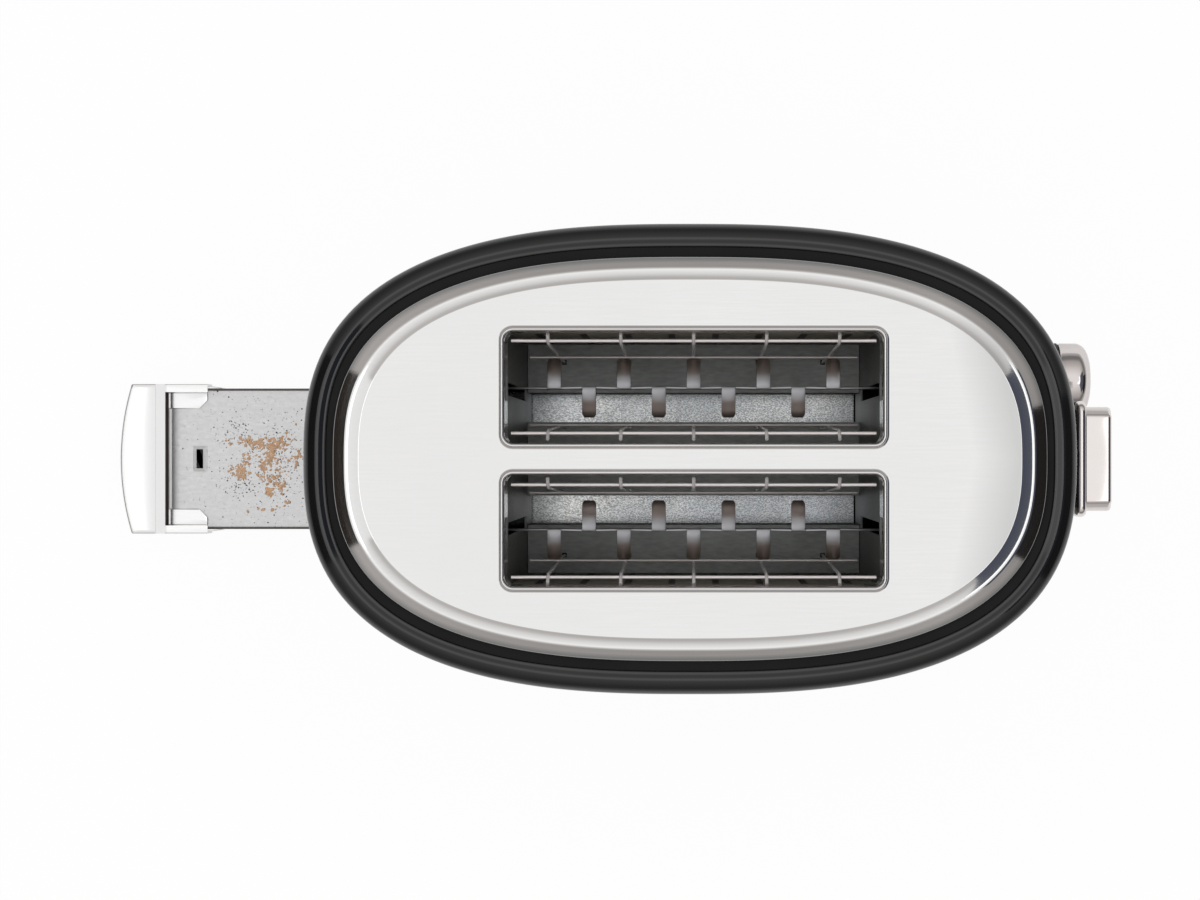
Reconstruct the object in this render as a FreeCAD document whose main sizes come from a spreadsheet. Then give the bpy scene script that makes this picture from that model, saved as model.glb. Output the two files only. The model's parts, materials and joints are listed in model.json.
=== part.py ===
"""Two-slot toaster with an oval body, a push lever, a dial and a crumb tray that is drawn out.

The origin lies on the surface the toaster stands on, under the middle of the oval body.
+X points to the end with the lever, +Y to the side of the dial, +Z up. All lengths are millimetres.
"""
import FreeCAD, Part
import math
import os
import re

import Sketcher

doc = FreeCAD.newDocument("toaster")
sheet = doc.addObject("Spreadsheet::Sheet", "sizes")
vec = FreeCAD.Vector

# Driving sizes: name, value and what it measures
SIZES = [
    # Oval body
    ("body_half_length", 139.9, "half length of the oval at the shoulder"),
    ("body_half_width", 85.1, "half width of the oval at the shoulder"),
    ("oval_power", 2.65, "roundness of the oval, 2 is an ellipse"),
    ("oval_spans", 2, "stretches of two arcs in a quarter of the oval"),
    ("shoulder_height", 183.0, "height where the rounded shoulder begins"),
    ("shoulder_radius", 5.4, "radius of the rounded shoulder"),
    ("seam_drop", 5.0, "from the shoulder down to the joint of shell and ring"),
    ("shell_foot", 9.0, "lower edge of the shell"),
    ("shell_wall", 1.2, "wall of the shell"),
    ("fit_gap", 0.3, "gap between pieces that do not touch"),
    ("run_gap", 0.05, "radial running gap of a shaft"),
    ("overrun", 5.0, "how far a cut runs past its piece"),
    # Top ring
    ("ring_wall", 2.4, "wall of the moulded ring"),
    ("crest_inset", 8.6, "inset of the step from the outline"),
    ("crest_fall", 0.5, "fall of the ring from its crest to the step"),
    ("ledge_depth", 1.3, "height of the step from the crest down to the ledge"),
    ("ledge_inset", 17.0, "inner edge of the ledge under the steel plate"),
    # Steel top plate
    ("plate_rise", 5.4, "rise of the plate's flat over the ledge"),
    ("plate_sheet", 0.8, "sheet of the steel plate"),
    ("plate_end_inset", 10.9, "from the body's end to the plate's edge"),
    ("plate_side_inset", 12.0, "from the body's side to the plate's edge"),
    ("slope_length", 8.0, "length of the plate's slope at the ends"),
    ("slope_width", 9.7, "width of the plate's slope at the sides"),
    # Bread slots
    ("slot_middle", 1.3, "X of the middle of slots and oven"),
    ("slot_offset", 25.7, "Y of a slot's middle line"),
    ("slot_end_inset", 72.0, "from the body's end to the end of a slot"),
    ("slot_half_width", 20.0, "half width of a slot"),
    ("slot_corner", 3.0, "corner radius of a slot"),
    ("bead_width", 1.6, "width of the rolled rim"),
    ("bead_rise", 0.8, "rise of the rolled rim over the plate"),
    ("collar_depth", 18.0, "depth of the collar at the slot's ends"),
    ("collar_sheet", 0.6, "sheet of the collar"),
    ("collar_side_depth", 5.0, "depth of the collar along the slot"),
    ("collar_end_length", 6.0, "length of the deep collar round each end"),
    ("notch_width", 9.2, "width of the notch in an end collar"),
    ("notch_top", 3.0, "metal left above the notch"),
    # Oven chassis
    ("oven_end_reach", 0.1, "how far the oven's inside reaches past a slot"),
    ("oven_half_width", 50.0, "half width of an end wall"),
    ("oven_sheet", 0.8, "sheet of the chassis"),
    ("end_wall_drop", 19.0, "from the plate down to an end wall under the slots"),
    ("end_tab_gap", 0.3, "gap between an end wall's tabs and the plate"),
    ("end_tab_width", 3.0, "width of an end wall's outer tabs"),
    ("end_tab_middle", 9.4, "width of an end wall's middle tab"),
    ("end_leg_width", 17.5, "width of an end wall's leg"),
    ("end_arch_top", 20.0, "height of the arch over the crumb tray"),
    ("end_foot_length", 12.0, "length of an end wall's foot flange"),
    ("rack_slot_width", 4.8, "width of the upright slots for the racks"),
    ("rack_slot_bottom", 56.0, "lower end of the upright slots"),
    ("rack_slot_drop", 23.0, "from the plate down to the upright slots"),
    ("floor_height", 51.0, "top of the oven floor"),
    ("floor_inner", 27.0, "inner edge of the outer floor plates"),
    ("floor_outer", 48.7, "outer edge of the outer floor plates"),
    ("chute_bottom", 19.4, "lower edge of the flange that leads crumbs down"),
    ("channel_half_width", 15.0, "half width of the middle channel"),
    ("channel_flange", 8.0, "flange of the middle channel"),
    ("shield_offset", 49.0, "inside of a side shield"),
    ("shield_sheet", 0.6, "sheet of a side shield"),
    ("shield_drop", 3.0, "from the plate down to the side shields"),
    ("vent_length_share", 0.5891, "length of a vent slot as a share of a slot's half length"),
    ("vent_height", 3.0, "height of a vent slot"),
    ("vent_pitch", 9.0, "pitch of the vent slots"),
    # Heaters
    ("board_sheet", 0.8, "thickness of a heater board"),
    ("board_offset", 46.4, "inner face of an outer heater board"),
    ("board_bottom", 58.0, "lower edge of a heater board"),
    ("board_drop", 21.0, "from the plate down to the heater boards"),
    ("ribbon_width", 2.4, "width of the heating ribbon"),
    ("ribbon_thickness", 0.3, "thickness of the heating ribbon"),
    ("ribbon_margin", 9.0, "margin of the heating ribbon on its board"),
    ("ribbon_runs", 8, "upright runs of the heating ribbon"),
    # Bread guards
    ("wire_radius", 0.65, "radius of the guard wires"),
    ("wire_weld", 0.3, "how far welded wires press into each other"),
    ("wire_pitch_share", 0.38881, "pitch of the upright wires as a share of a slot's half length"),
    ("wire_end_inset", 1.7, "from a slot's end to an upper lengthwise wire"),
    ("wire_middle_inset", 4.3, "from a slot's end to a middle lengthwise wire"),
    ("guard_foot_outer", 39.4, "Y of an outer guard's feet"),
    ("guard_foot_inner", 13.4, "Y of an inner guard's feet"),
    ("guard_knee_outer", 42.4, "Y of an outer guard's upper bend"),
    ("guard_knee_inner", 9.2, "Y of an inner guard's upper bend"),
    ("guard_tip_outer", 45.4, "Y of an outer guard's tips"),
    ("guard_tip_inner", 7.0, "Y of an inner guard's tips"),
    ("guard_knee_drop", 14.0, "from the plate down to the guards' upper bend"),
    ("guard_tip_drop", 6.5, "from the plate down to the guards' tips"),
    ("guard_middle_drop", 85.0, "from the plate down to the middle lengthwise wire"),
    ("guard_stub", 1.4, "how far the feet reach under the floor's top"),
    ("guard_hole", 0.95, "half width of the square holes for the feet"),
    # Bread racks
    ("rack_drop", 35.5, "from the plate down to the raised racks"),
    ("rack_depth", 9.5, "height of the rack's strip"),
    ("rack_sheet", 0.8, "sheet of the rack"),
    ("rack_rear_reach", 2.5, "how far a rack stands out behind the rear end wall"),
    ("tab_width", 5.2, "width of a rack's tab"),
    ("tab_reach", 11.0, "reach of a tab from the strip's middle"),
    ("tab_pitch_share", 0.38144, "pitch of the tabs as a share of a slot's half length"),
    ("tab_droop", 1.2, "droop of a tab towards its end"),
    # Carriage, guide and latch
    ("travel_rest", 110.0, "part of the height that the racks don't travel"),
    ("carriage_gap", 4.0, "gap between the front end wall and the carriage"),
    ("carriage_sheet", 1.2, "sheet of the carriage plate"),
    ("carriage_half_width", 31.0, "half width of the carriage plate"),
    ("carriage_height", 30.0, "height of the carriage plate"),
    ("rod_inset", 47.9, "from the body's end to the guide rod"),
    ("rod_radius", 3.0, "radius of the guide rod"),
    ("rod_foot", 8.0, "lower end of the guide rod"),
    ("rod_drop", 7.5, "from the plate down to the guide rod's end"),
    ("rod_boss_radius", 6.5, "radius of the guide rod's boss"),
    ("rod_boss_top", 20.0, "height of the guide rod's boss"),
    ("hub_radius", 7.0, "radius of the carriage's bearing"),
    ("hub_reach", 32.2, "how far the bearing reaches down from the racks' top"),
    ("arm_boss_reach", 9.0, "reach of the boss that holds the lever arm"),
    ("arm_boss_width", 8.0, "width of that boss"),
    ("latch_arm_depth", 5.7, "thickness of the arm that carries the armature"),
    ("magnet_inset", 45.9, "from the body's end to the latch magnet's middle"),
    ("magnet_y", -25.0, "Y of the latch magnet's middle"),
    ("magnet_length", 20.0, "length of the magnet's core"),
    ("magnet_width", 15.0, "width of the magnet's core"),
    ("magnet_top", 38.0, "top of the magnet's core"),
    ("magnet_leg", 5.0, "leg of the magnet's core"),
    ("coil_wall", 3.0, "winding depth of the coil"),
    ("armature_sheet", 4.0, "thickness of the armature"),
    ("spring_radius", 4.6, "radius of the lift spring's wire line"),
    ("spring_wire", 0.6, "radius of the lift spring's wire"),
    ("spring_turns", 5, "turns of the lift spring"),
    # Lever
    ("arm_sheet", 3.0, "thickness of the lever arm"),
    ("arm_drop", 9.5, "from the racks' top down to the lever arm"),
    ("arm_height", 8.0, "height of the lever arm"),
    ("arm_slot_gap", 0.8, "gap round the lever arm in the shell's slot"),
    ("flange_gap", 2.6, "gap between the body's end and the lever's flange"),
    ("flange_thickness", 4.3, "thickness of the lever's flange"),
    ("flange_width", 43.0, "width of the lever's flange"),
    ("flange_drop", 6.0, "how far the lever's flange reaches under its arm"),
    ("flange_height", 20.0, "height of the lever's flange"),
    ("flange_round", 1.8, "rounding of the flange's upright edges"),
    ("lever_bevel", 1.2, "bevel of the lever's level edges"),
    ("bar_width", 38.6, "width of the lever's bar"),
    ("bar_reach", 9.4, "reach of the bar from the flange"),
    ("bar_height", 16.4, "height of the lever's bar"),
    ("bar_round", 2.6, "rounding of the bar's upright edges"),
    # Dial
    ("dial_y_share", 0.38308, "Y of the dial as a share of the body's half width"),
    ("dial_z", 40.0, "height of the dial"),
    ("dial_radius", 15.0, "radius of the dial"),
    ("dial_stand", 11.3, "how far the dial's back stands out from the body's end"),
    ("dial_depth", 13.5, "depth of the dial"),
    ("dial_round", 6.0, "rounding of the dial's front edge"),
    ("dial_bore", 8.0, "depth of the dial's shaft bore"),
    ("shaft_radius", 3.0, "radius of the dial's shaft"),
    ("bezel_radius", 15.1, "radius of the dial's bezel"),
    ("bezel_gap", 0.4, "gap between bezel and dial"),
    ("shaft_gap", 0.6, "gap round the shaft in the shell"),
    ("hole_inset", 12.9, "from the body's end to where its cuts begin"),
    ("switch_half_width", 11.0, "half width of the dial's switch"),
    ("switch_gap", 3.8, "from the dial's switch to the shell's outside at its corner"),
    # Push buttons
    ("button_y_share", 0.34078, "Y of the push buttons as a share of the body's half width"),
    ("button_low", 28.0, "height of the lowest button"),
    ("button_pitch", 13.0, "pitch of the buttons"),
    ("button_half_width", 7.0, "half width of a button"),
    ("button_half_height", 3.5, "half height of a button"),
    ("button_gap", 0.4, "gap round a button in the shell"),
    ("button_stand", 1.6, "how far a button's face stands out from the body's end"),
    ("button_cap", 12.0, "length of a button's cap"),
    ("button_flange", 1.2, "how far a button's flange stands out"),
    ("button_flange_depth", 1.5, "depth of a button's flange"),
    ("button_stem", 2.0, "half width of a button's stem"),
    ("button_bevel", 0.8, "bevel round a button's face"),
    ("button_travel", 1.8, "travel of a button"),
    ("guide_inset", 14.9, "from the body's end to the front of the button guide"),
    ("guide_sheet", 2.4, "thickness of the button guide"),
    ("guide_half_width", 7.5, "half width of the button guide"),
    ("guide_leg", 3.0, "thickness of the button guide's legs"),
    # Control board
    ("circuit_end_inset", 21.9, "from the body's end to the back of the control board"),
    ("circuit_sheet", 1.6, "thickness of the control board"),
    ("circuit_width_share", 0.51704, "width of the control board as a share of the body's width"),
    ("circuit_bottom", 12.0, "lower edge of the control board"),
    ("circuit_top", 62.0, "upper edge of the control board"),
    ("post_width", 4.0, "width of the board's posts"),
    ("post_inset", 6.0, "from the control board's edge to a post's middle"),
    ("post_top", 20.0, "height of the board's posts"),
    ("post_reach", 3.0, "how far a post stands on each side of the board"),
    ("tact_size", 6.0, "side of a key switch on the board"),
    ("tact_depth", 2.2, "depth of a key switch on the board"),
    ("relay_length", 18.0, "height of the relay on the board"),
    ("relay_width", 14.0, "width of the relay on the board"),
    ("relay_depth", 9.0, "depth of the relay on the board"),
    # Base
    ("stand_gap", 5.0, "height of the base over the surface"),
    ("base_sheet", 2.5, "floor of the base"),
    ("skirt_inset", 1.0, "inset of the base's skirt from the shell"),
    ("rim_top", 22.0, "upper edge of the base's rim"),
    ("rim_wall", 2.0, "wall of the base's rim"),
    ("foot_end_inset", 39.9, "from the body's end to a foot's middle"),
    ("foot_side_inset", 37.1, "from the body's side to a foot's middle"),
    ("foot_radius", 9.0, "radius of a foot"),
    ("screw_y", 41.0, "Y of the chassis screws"),
    ("screw_head", 3.6, "corner radius of a screw's hexagon head"),
    ("screw_head_depth", 2.2, "depth of a screw's head"),
    ("screw_shank", 1.4, "half width of a screw's square neck"),
    ("inlet_end_inset", 61.9, "from the body's end to the cord inlet's edge"),
    ("inlet_side_inset", 28.1, "from the body's side to the cord inlet's edge"),
    ("inlet_length", 12.0, "length of the cord inlet"),
    ("inlet_width", 9.0, "width of the cord inlet"),
    ("terminal_length", 24.0, "length of the terminal block"),
    ("terminal_width", 12.0, "width of the terminal block"),
    ("terminal_height", 13.0, "height of the terminal block"),
    ("terminal_end_inset", 55.9, "from the body's end to the terminal block"),
    ("terminal_side_inset", 51.1, "from the body's side to the terminal block"),
    # Crumb tray
    ("tray_drawn", 98.5, "how far the tray is drawn out"),
    ("tray_level", 14.0, "top of the tray's plate"),
    ("tray_sheet", 0.7, "sheet of the tray"),
    ("tray_half_width", 29.6, "half width of the tray's plate"),
    ("tray_length", 190.0, "length of the tray's plate"),
    ("tray_lip", 3.0, "height of the tray's lips"),
    ("window_reach", 9.1, "from the handle to the latch window"),
    ("window_length", 5.9, "length of the latch window"),
    ("window_half_width", 5.4, "half width of the latch window"),
    ("handle_depth", 19.4, "depth of the tray's handle"),
    ("handle_half_width", 31.3, "half width of the handle"),
    ("handle_radius", 107.0, "radius of the handle's front"),
    ("handle_bottom", 8.0, "lower face of the handle"),
    ("handle_top", 26.0, "upper face of the handle"),
    ("handle_step", 4.0, "width of the lower step behind the handle's top"),
    ("handle_step_depth", 0.6, "depth of that step"),
    ("handle_wall", 2.0, "wall of the handle"),
    ("handle_arm", 22.0, "length of the handle's arms"),
    ("handle_arm_taper", 9.0, "tapered length of an arm"),
    ("handle_arm_low", 11.0, "lower edge of an arm"),
    ("handle_arm_top", 20.0, "upper edge of an arm"),
    ("clip_length", 16.0, "length of a clip over the plate"),
    ("clip_inner", 21.1, "inner edge of a clip"),
    ("clip_outer", 27.9, "outer edge of a clip"),
    ("clip_chamfer", 3.5, "chamfer of a clip"),
    ("clip_sheet", 1.2, "thickness of a clip"),
    ("tongue_length", 14.0, "length of the tongue under the plate"),
    ("tongue_half_width", 27.0, "half width of the tongue"),
    ("tongue_sheet", 1.6, "thickness of the tongue"),
    ("recess_gap", 0.5, "gap round the handle in the shell"),
    ("rail_gap", 0.4, "gap between the tray and its rails"),
    ("rail_wall", 1.5, "wall of a rail"),
    ("rail_lip", 2.0, "lip of a rail over the tray"),
    ("rail_rear", -98.0, "X of the rear end of the rails"),
    ("bed_sheet", 0.8, "sheet of the bed under the tray"),
    ("bed_rib_offset", 20.0, "Y of the outer ribs under the bed"),
    ("bed_rib_wall", 2.0, "wall of a rib under the bed"),
]

# Sizes that follow from others: name, formula and what it measures
FOLLOWING_SIZES = [
    ("seam_height", "shoulder_height - seam_drop", "joint of shell and top ring"),
    ("crest_height", "shoulder_height + shoulder_radius", "top of the rounded shoulder"),
    ("ledge_height", "crest_height - crest_fall - ledge_depth", "top of the ring's ledge under the plate"),
    ("plate_height", "ledge_height + plate_rise", "height of the steel plate's flat"),
    ("plate_edge_half_length", "body_half_length - plate_end_inset", "half length of the plate's outer edge"),
    ("plate_edge_half_width", "body_half_width - plate_side_inset", "half width of the plate's outer edge"),
    ("plate_flat_half_length", "plate_edge_half_length - slope_length", "half length of the plate's flat"),
    ("plate_flat_half_width", "plate_edge_half_width - slope_width", "half width of the plate's flat"),
    ("slot_half_length", "body_half_length - slot_end_inset", "half length of a slot"),
    ("oven_half_length", "slot_half_length + oven_end_reach", "inside of an end wall from the oven's middle"),
    ("end_wall_top", "plate_height - end_wall_drop", "height of an end wall under the slots"),
    ("rack_slot_top", "plate_height - rack_slot_drop", "upper end of the upright slots"),
    ("shield_top", "plate_height - shield_drop", "upper edge of a side shield"),
    ("board_top", "plate_height - board_drop", "upper edge of a heater board"),
    ("wire_half_length", "slot_half_length - wire_end_inset", "half length of an upper wire"),
    ("wire_middle_half_length", "slot_half_length - wire_middle_inset", "half length of a middle wire"),
    ("guard_knee_height", "plate_height - guard_knee_drop", "height of the upper bend"),
    ("guard_tip_height", "plate_height - guard_tip_drop", "height of the tips"),
    ("guard_middle_wire", "plate_height - guard_middle_drop", "height of the middle lengthwise wire"),
    ("rack_top", "plate_height - rack_drop", "top of the bread rack when raised"),
    ("travel", "plate_height - travel_rest", "travel of the lever and the racks"),
    ("rod_x", "body_half_length - rod_inset", "X of the guide rod"),
    ("rod_top", "plate_height - rod_drop", "upper end of the guide rod"),
    ("hub_bottom", "rack_top - hub_reach", "lower end of the bearing"),
    ("magnet_x", "body_half_length - magnet_inset", "X of the latch magnet's middle"),
    ("arm_bottom", "rack_top - arm_drop", "lower edge of the lever arm"),
    ("flange_back", "body_half_length + flange_gap", "X of the back of the lever's flange"),
    ("flange_bottom", "arm_bottom - flange_drop", "lower edge of the lever's flange"),
    ("dial_y", "body_half_width * dial_y_share", "Y of the dial"),
    ("dial_back", "body_half_length + dial_stand", "X of the back of the dial"),
    ("hole_back", "body_half_length - hole_inset", "X where the cuts through the shell's end begin"),
    ("button_y", "-1 * body_half_width * button_y_share", "Y of the push buttons"),
    ("button_front", "body_half_length + button_stand", "X of a button's face"),
    ("guide_front", "body_half_length - guide_inset", "X of the front of the button guide"),
    ("board_x", "body_half_length - circuit_end_inset", "X of the back of the control board"),
    ("corner_share", "(dial_y + switch_half_width) / body_half_width", "place of the switch's corner in the width"),
    ("corner_fall", "corner_share ^ oval_power", "share that the oval loses there"),
    ("switch_wall", "body_half_length * (1 - corner_fall) ^ (1 / oval_power)", "X of the shell there"),
    ("switch_depth", "switch_wall - board_x - circuit_sheet - switch_gap", "depth of the dial's switch"),
    ("circuit_half_width", "body_half_width * circuit_width_share", "half width of the control board"),
    ("post_offset", "circuit_half_width - post_inset", "Y of the board's posts"),
    ("foot_x", "body_half_length - foot_end_inset", "X of the feet"),
    ("foot_y", "body_half_width - foot_side_inset", "Y of the feet"),
    ("inlet_x", "body_half_length - inlet_end_inset", "X of the cord inlet's edge"),
    ("inlet_y", "body_half_width - inlet_side_inset", "Y of the cord inlet's edge"),
    ("terminal_x", "body_half_length - terminal_end_inset", "X of the terminal block's back"),
    ("terminal_y", "body_half_width - terminal_side_inset", "Y of the terminal block's side"),
    ("wire_pitch", "slot_half_length * wire_pitch_share", "pitch of the upright wires"),
    ("tab_pitch", "slot_half_length * tab_pitch_share", "pitch of the tabs on one side"),
    ("vent_length", "slot_half_length * vent_length_share", "length of a vent slot in a side shield"),
]

# Shares of width and height along the steel plate's edge, from its rim up to the flat
PLATE_EDGE_SHARES = ((0.0, 0.0), (0.44, 0.64), (0.72, 0.92), (1.0, 1.0))
PLATE_HOLLOW_SHARES = ((0.0, 0.0), (1.0, 1.0))
# Shares of the bead's width between which its crown lies
BEAD_CROWN_SHARES = (0.28, 0.72)
# Shares of a radius along and across a quarter round that is drawn with three chords
ROUND_SHARES = ((0.0, 0.0), (0.5, 0.134), (0.866, 0.5), (1.0, 1.0))
# The same for a quarter round that is drawn with two chords
PLAIN_ROUND_SHARES = ((0.0, 0.0), (0.707, 0.293), (1.0, 1.0))
# Half of a piece
HALF_SHARE = 0.5
# Share of a line's length above which it counts as steep
WIRE_STEEP_SHARE = 0.9


def fill_sheet():
    """Writes every size to the sheet, with its name as alias."""
    following = [(name, f"={formula}", meaning) for name, formula, meaning in FOLLOWING_SIZES]
    for row, (name, content, meaning) in enumerate(SIZES + following, start=1):
        sheet.set(f"A{row}", name)
        sheet.set(f"B{row}", str(content))
        sheet.set(f"C{row}", meaning)
        sheet.setAlias(f"B{row}", name)
    doc.recompute()


def cell(text):
    """The formula with each size name pointed at the sheet."""
    return re.sub(r"\b[a-z]\w*\b(?!\()", r"sizes.\g<0>", str(text))


def mm(text):
    """The number that a formula of size names gives."""
    result = sheet.evalExpression(cell(text))
    return float(getattr(result, "Value", result))


# Solid features on bodies

PLANES = {"XY": "XY_Plane", "XZ": "XZ_Plane", "YZ": "YZ_Plane"}


def new_body(label):
    """An empty body whose label names its file."""
    body = doc.addObject("PartDesign::Body", label)
    body.Label = label
    return body


def new_sketch(body, plane, level):
    """A sketch on one of the body's own planes, moved along the plane's axis to the level."""
    sketch = body.newObject("Sketcher::SketchObject", "outline")
    support = next(f for f in body.Origin.OriginFeatures if f.Role == PLANES[plane])
    sketch.AttachmentSupport = [(support, "")]
    sketch.MapMode = "FlatFace"
    sign = "-1 * " if plane == "XZ" else ""
    sketch.setExpression(".AttachmentOffset.Base.z", f"{sign}({cell(level)})")
    return sketch


def tie(sketch, kind, geometry, point, text):
    """A constraint whose value follows a formula of sizes."""
    where = (geometry,) if point is None else (geometry, point)
    index = sketch.addConstraint(Sketcher.Constraint(kind, *where, mm(text)))
    sketch.setExpression(f"Constraints[{index}]", cell(text))


def draw_polygon(sketch, corners):
    """A closed outline through corners given as formulas of sizes."""
    points = [vec(mm(u), mm(v), 0) for u, v in corners]
    for start, end in zip(points, points[1:] + points[:1]):
        sketch.addGeometry(Part.LineSegment(start, end), False)
    for index, (u, v) in enumerate(corners):
        following = (index + 1) % len(corners)
        sketch.addConstraint(Sketcher.Constraint("Coincident", index, 2, following, 1))
        tie(sketch, "DistanceX", index, 1, u)
        tie(sketch, "DistanceY", index, 1, v)


def draw_circle(sketch, centre, radius):
    """A circle round a centre given as formulas of sizes."""
    u, v = centre
    circle = Part.Circle(vec(mm(u), mm(v), 0), vec(0, 0, 1), mm(radius))
    index = sketch.addGeometry(circle, False)
    tie(sketch, "DistanceX", index, 3, u)
    tie(sketch, "DistanceY", index, 3, v)
    tie(sketch, "Radius", index, None, radius)


def extrude(body, kind, plane, start, end, draw):
    """Adds or removes a prism between two levels along the plane's axis."""
    near, far = (end, start) if plane == "XZ" else (start, end)
    level = near if kind == "Pad" else far
    sketch = new_sketch(body, plane, level)
    draw(sketch)
    feature = body.newObject("PartDesign::" + kind, kind.lower())
    feature.Profile = sketch
    feature.setExpression("Length", cell(f"({end}) - ({start})"))
    return feature


def add_prism(body, plane, corners, start, end):
    return extrude(body, "Pad", plane, start, end, lambda sketch: draw_polygon(sketch, corners))


def cut_prism(body, plane, corners, start, end):
    return extrude(body, "Pocket", plane, start, end, lambda sketch: draw_polygon(sketch, corners))


def add_round(body, plane, centre, radius, start, end):
    return extrude(body, "Pad", plane, start, end, lambda sketch: draw_circle(sketch, centre, radius))


def cut_round(body, plane, centre, radius, start, end):
    return extrude(body, "Pocket", plane, start, end, lambda sketch: draw_circle(sketch, centre, radius))


def rectangle(u, v):
    """Corners of a rectangle from its two ranges."""
    return [(u[0], v[0]), (u[1], v[0]), (u[1], v[1]), (u[0], v[1])]


def add_block(body, x, y, z):
    return add_prism(body, "XY", rectangle(x, y), *z)


def cut_block(body, x, y, z):
    return cut_prism(body, "XY", rectangle(x, y), *z)


def bevel_edges(body, size, chosen):
    """Bevels the edges of the body's tip that pass the test."""
    doc.recompute()
    tip = body.Tip
    names = [f"Edge{i}" for i, edge in enumerate(tip.Shape.Edges, start=1) if chosen(edge)]
    bevel = body.newObject("PartDesign::Chamfer", "bevel")
    bevel.Base = (tip, names)
    bevel.setExpression("Size", cell(size))
    return bevel


def around(side, low, high):
    """The range between two formulas on the +Y or -Y side."""
    return (low, high) if side > 0 else (f"-({high})", f"-({low})")


def on_side(side, text):
    """The formula with the sign of its side."""
    return f"({text})" if side > 0 else f"-({text})"


# Part objects and booleans

def box(name, x, y, z):
    """A box between three ranges of formulas."""
    item = doc.addObject("Part::Box", name)
    for prop, base, (low, high) in (("Length", "x", x), ("Width", "y", y), ("Height", "z", z)):
        item.setExpression(prop, cell(f"({high}) - ({low})"))
        item.setExpression(f".Placement.Base.{base}", cell(low))
    return item


def rod(name, axis, centre, radius, start, end):
    """A cylinder along X, Y or Z; centre holds the other two coordinates in X, Y, Z order."""
    item = doc.addObject("Part::Cylinder", name)
    turn = {"x": (vec(0, 1, 0), 90), "y": (vec(1, 0, 0), -90), "z": (vec(0, 0, 1), 0)}[axis]
    item.Placement = FreeCAD.Placement(vec(0, 0, 0), FreeCAD.Rotation(*turn))
    item.setExpression("Radius", cell(radius))
    item.setExpression("Height", cell(f"({end}) - ({start})"))
    others = [letter for letter in "xyz" if letter != axis]
    item.setExpression(f".Placement.Base.{axis}", cell(start))
    for letter, text in zip(others, centre):
        item.setExpression(f".Placement.Base.{letter}", cell(text))
    return item


def fused(label, items):
    item = doc.addObject("Part::MultiFuse", label)
    item.Shapes = items
    return item


def cut(label, base, tools):
    item = doc.addObject("Part::Cut", label)
    item.Base = base
    item.Tool = tools[0] if len(tools) == 1 else fused(label + "_cuts", tools)
    return item


def group(label, items):
    item = doc.addObject("Part::Compound", label)
    item.Links = items
    return item


def feature(label, shape):
    item = doc.addObject("Part::Feature", label)
    item.Shape = shape
    return item


# Oval outlines

def arc_from(start, tangent, end):
    """The arc that leaves start along the tangent and reaches end."""
    chord = end - start
    normal = vec(-tangent.y, tangent.x, 0)
    radius = chord.dot(chord) / (2 * chord.dot(normal))
    centre = start + normal * radius
    middle = (start + end) * HALF_SHARE - centre
    middle.normalize()
    return Part.Arc(start, centre + middle * radius, end).toShape()


def oval(half_length, half_width, height, inset=0.0):
    """A closed oval of tangent arcs through points of a superellipse, drawn in by the inset."""
    power = mm("oval_power")
    spans = int(mm("oval_spans"))
    points, tangents = [], []
    for index in range(4 * spans + 1):
        angle = math.pi / 2 * index / spans
        c, s = math.cos(angle), math.sin(angle)
        reach = (abs(c) ** power + abs(s) ** power) ** (-1 / power)
        x, y = c * reach, s * reach
        slope_x = math.copysign(abs(x) ** (power - 1), x) / half_length
        slope_y = math.copysign(abs(y) ** (power - 1), y) / half_width
        tangent = vec(-slope_y, slope_x, 0)
        tangent.normalize()
        points.append(vec(half_length * x, half_width * y, height))
        tangents.append(tangent)
    edges = []
    for start, end, leaving, arriving in zip(points, points[1:], tangents, tangents[1:]):
        gap = end - start
        both = leaving + arriving
        a = 2 * (1 - leaving.dot(arriving))
        b = 2 * gap.dot(both)
        c = -gap.dot(gap)
        reach = (-b + math.sqrt(b * b - 4 * a * c)) / (2 * a)
        middle = (start + leaving * reach + end - arriving * reach) * HALF_SHARE
        turn = (end - arriving * reach) - (start + leaving * reach)
        turn.normalize()
        edges.append(arc_from(start, leaving, middle))
        edges.append(arc_from(middle, turn, end))
    wire = Part.Wire(edges)
    return wire if inset == 0 else wire.makeOffset2D(-inset)


def body_oval(inset, height):
    return oval(mm("body_half_length"), mm("body_half_width"), height, inset)


def section(points):
    """A closed section in the XZ plane through its corners."""
    loop = [vec(x, 0, z) for x, z in points]
    return Part.makePolygon(loop + loop[:1])


def swept(label, profile, path):
    """A section carried round a closed path."""
    item = doc.addObject("Part::Sweep", label)
    spine = feature(label + "_path", path)
    item.Sections = [feature(label + "_section", profile)]
    item.Spine = (spine, [f"Edge{i}" for i in range(1, len(path.Edges) + 1)])
    item.Solid = True
    item.Frenet = False
    return item


def oval_slab(label, inset, low, high):
    """A slab with the body's outline, drawn in by the inset."""
    item = doc.addObject("Part::Extrusion", label)
    item.Base = feature(label + "_outline", body_oval(inset, mm(low)))
    item.Dir = vec(0, 0, 1)
    item.setExpression("LengthFwd", cell(f"({high}) - ({low})"))
    item.Solid = True
    return item


# Shell, ring and plate

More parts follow.
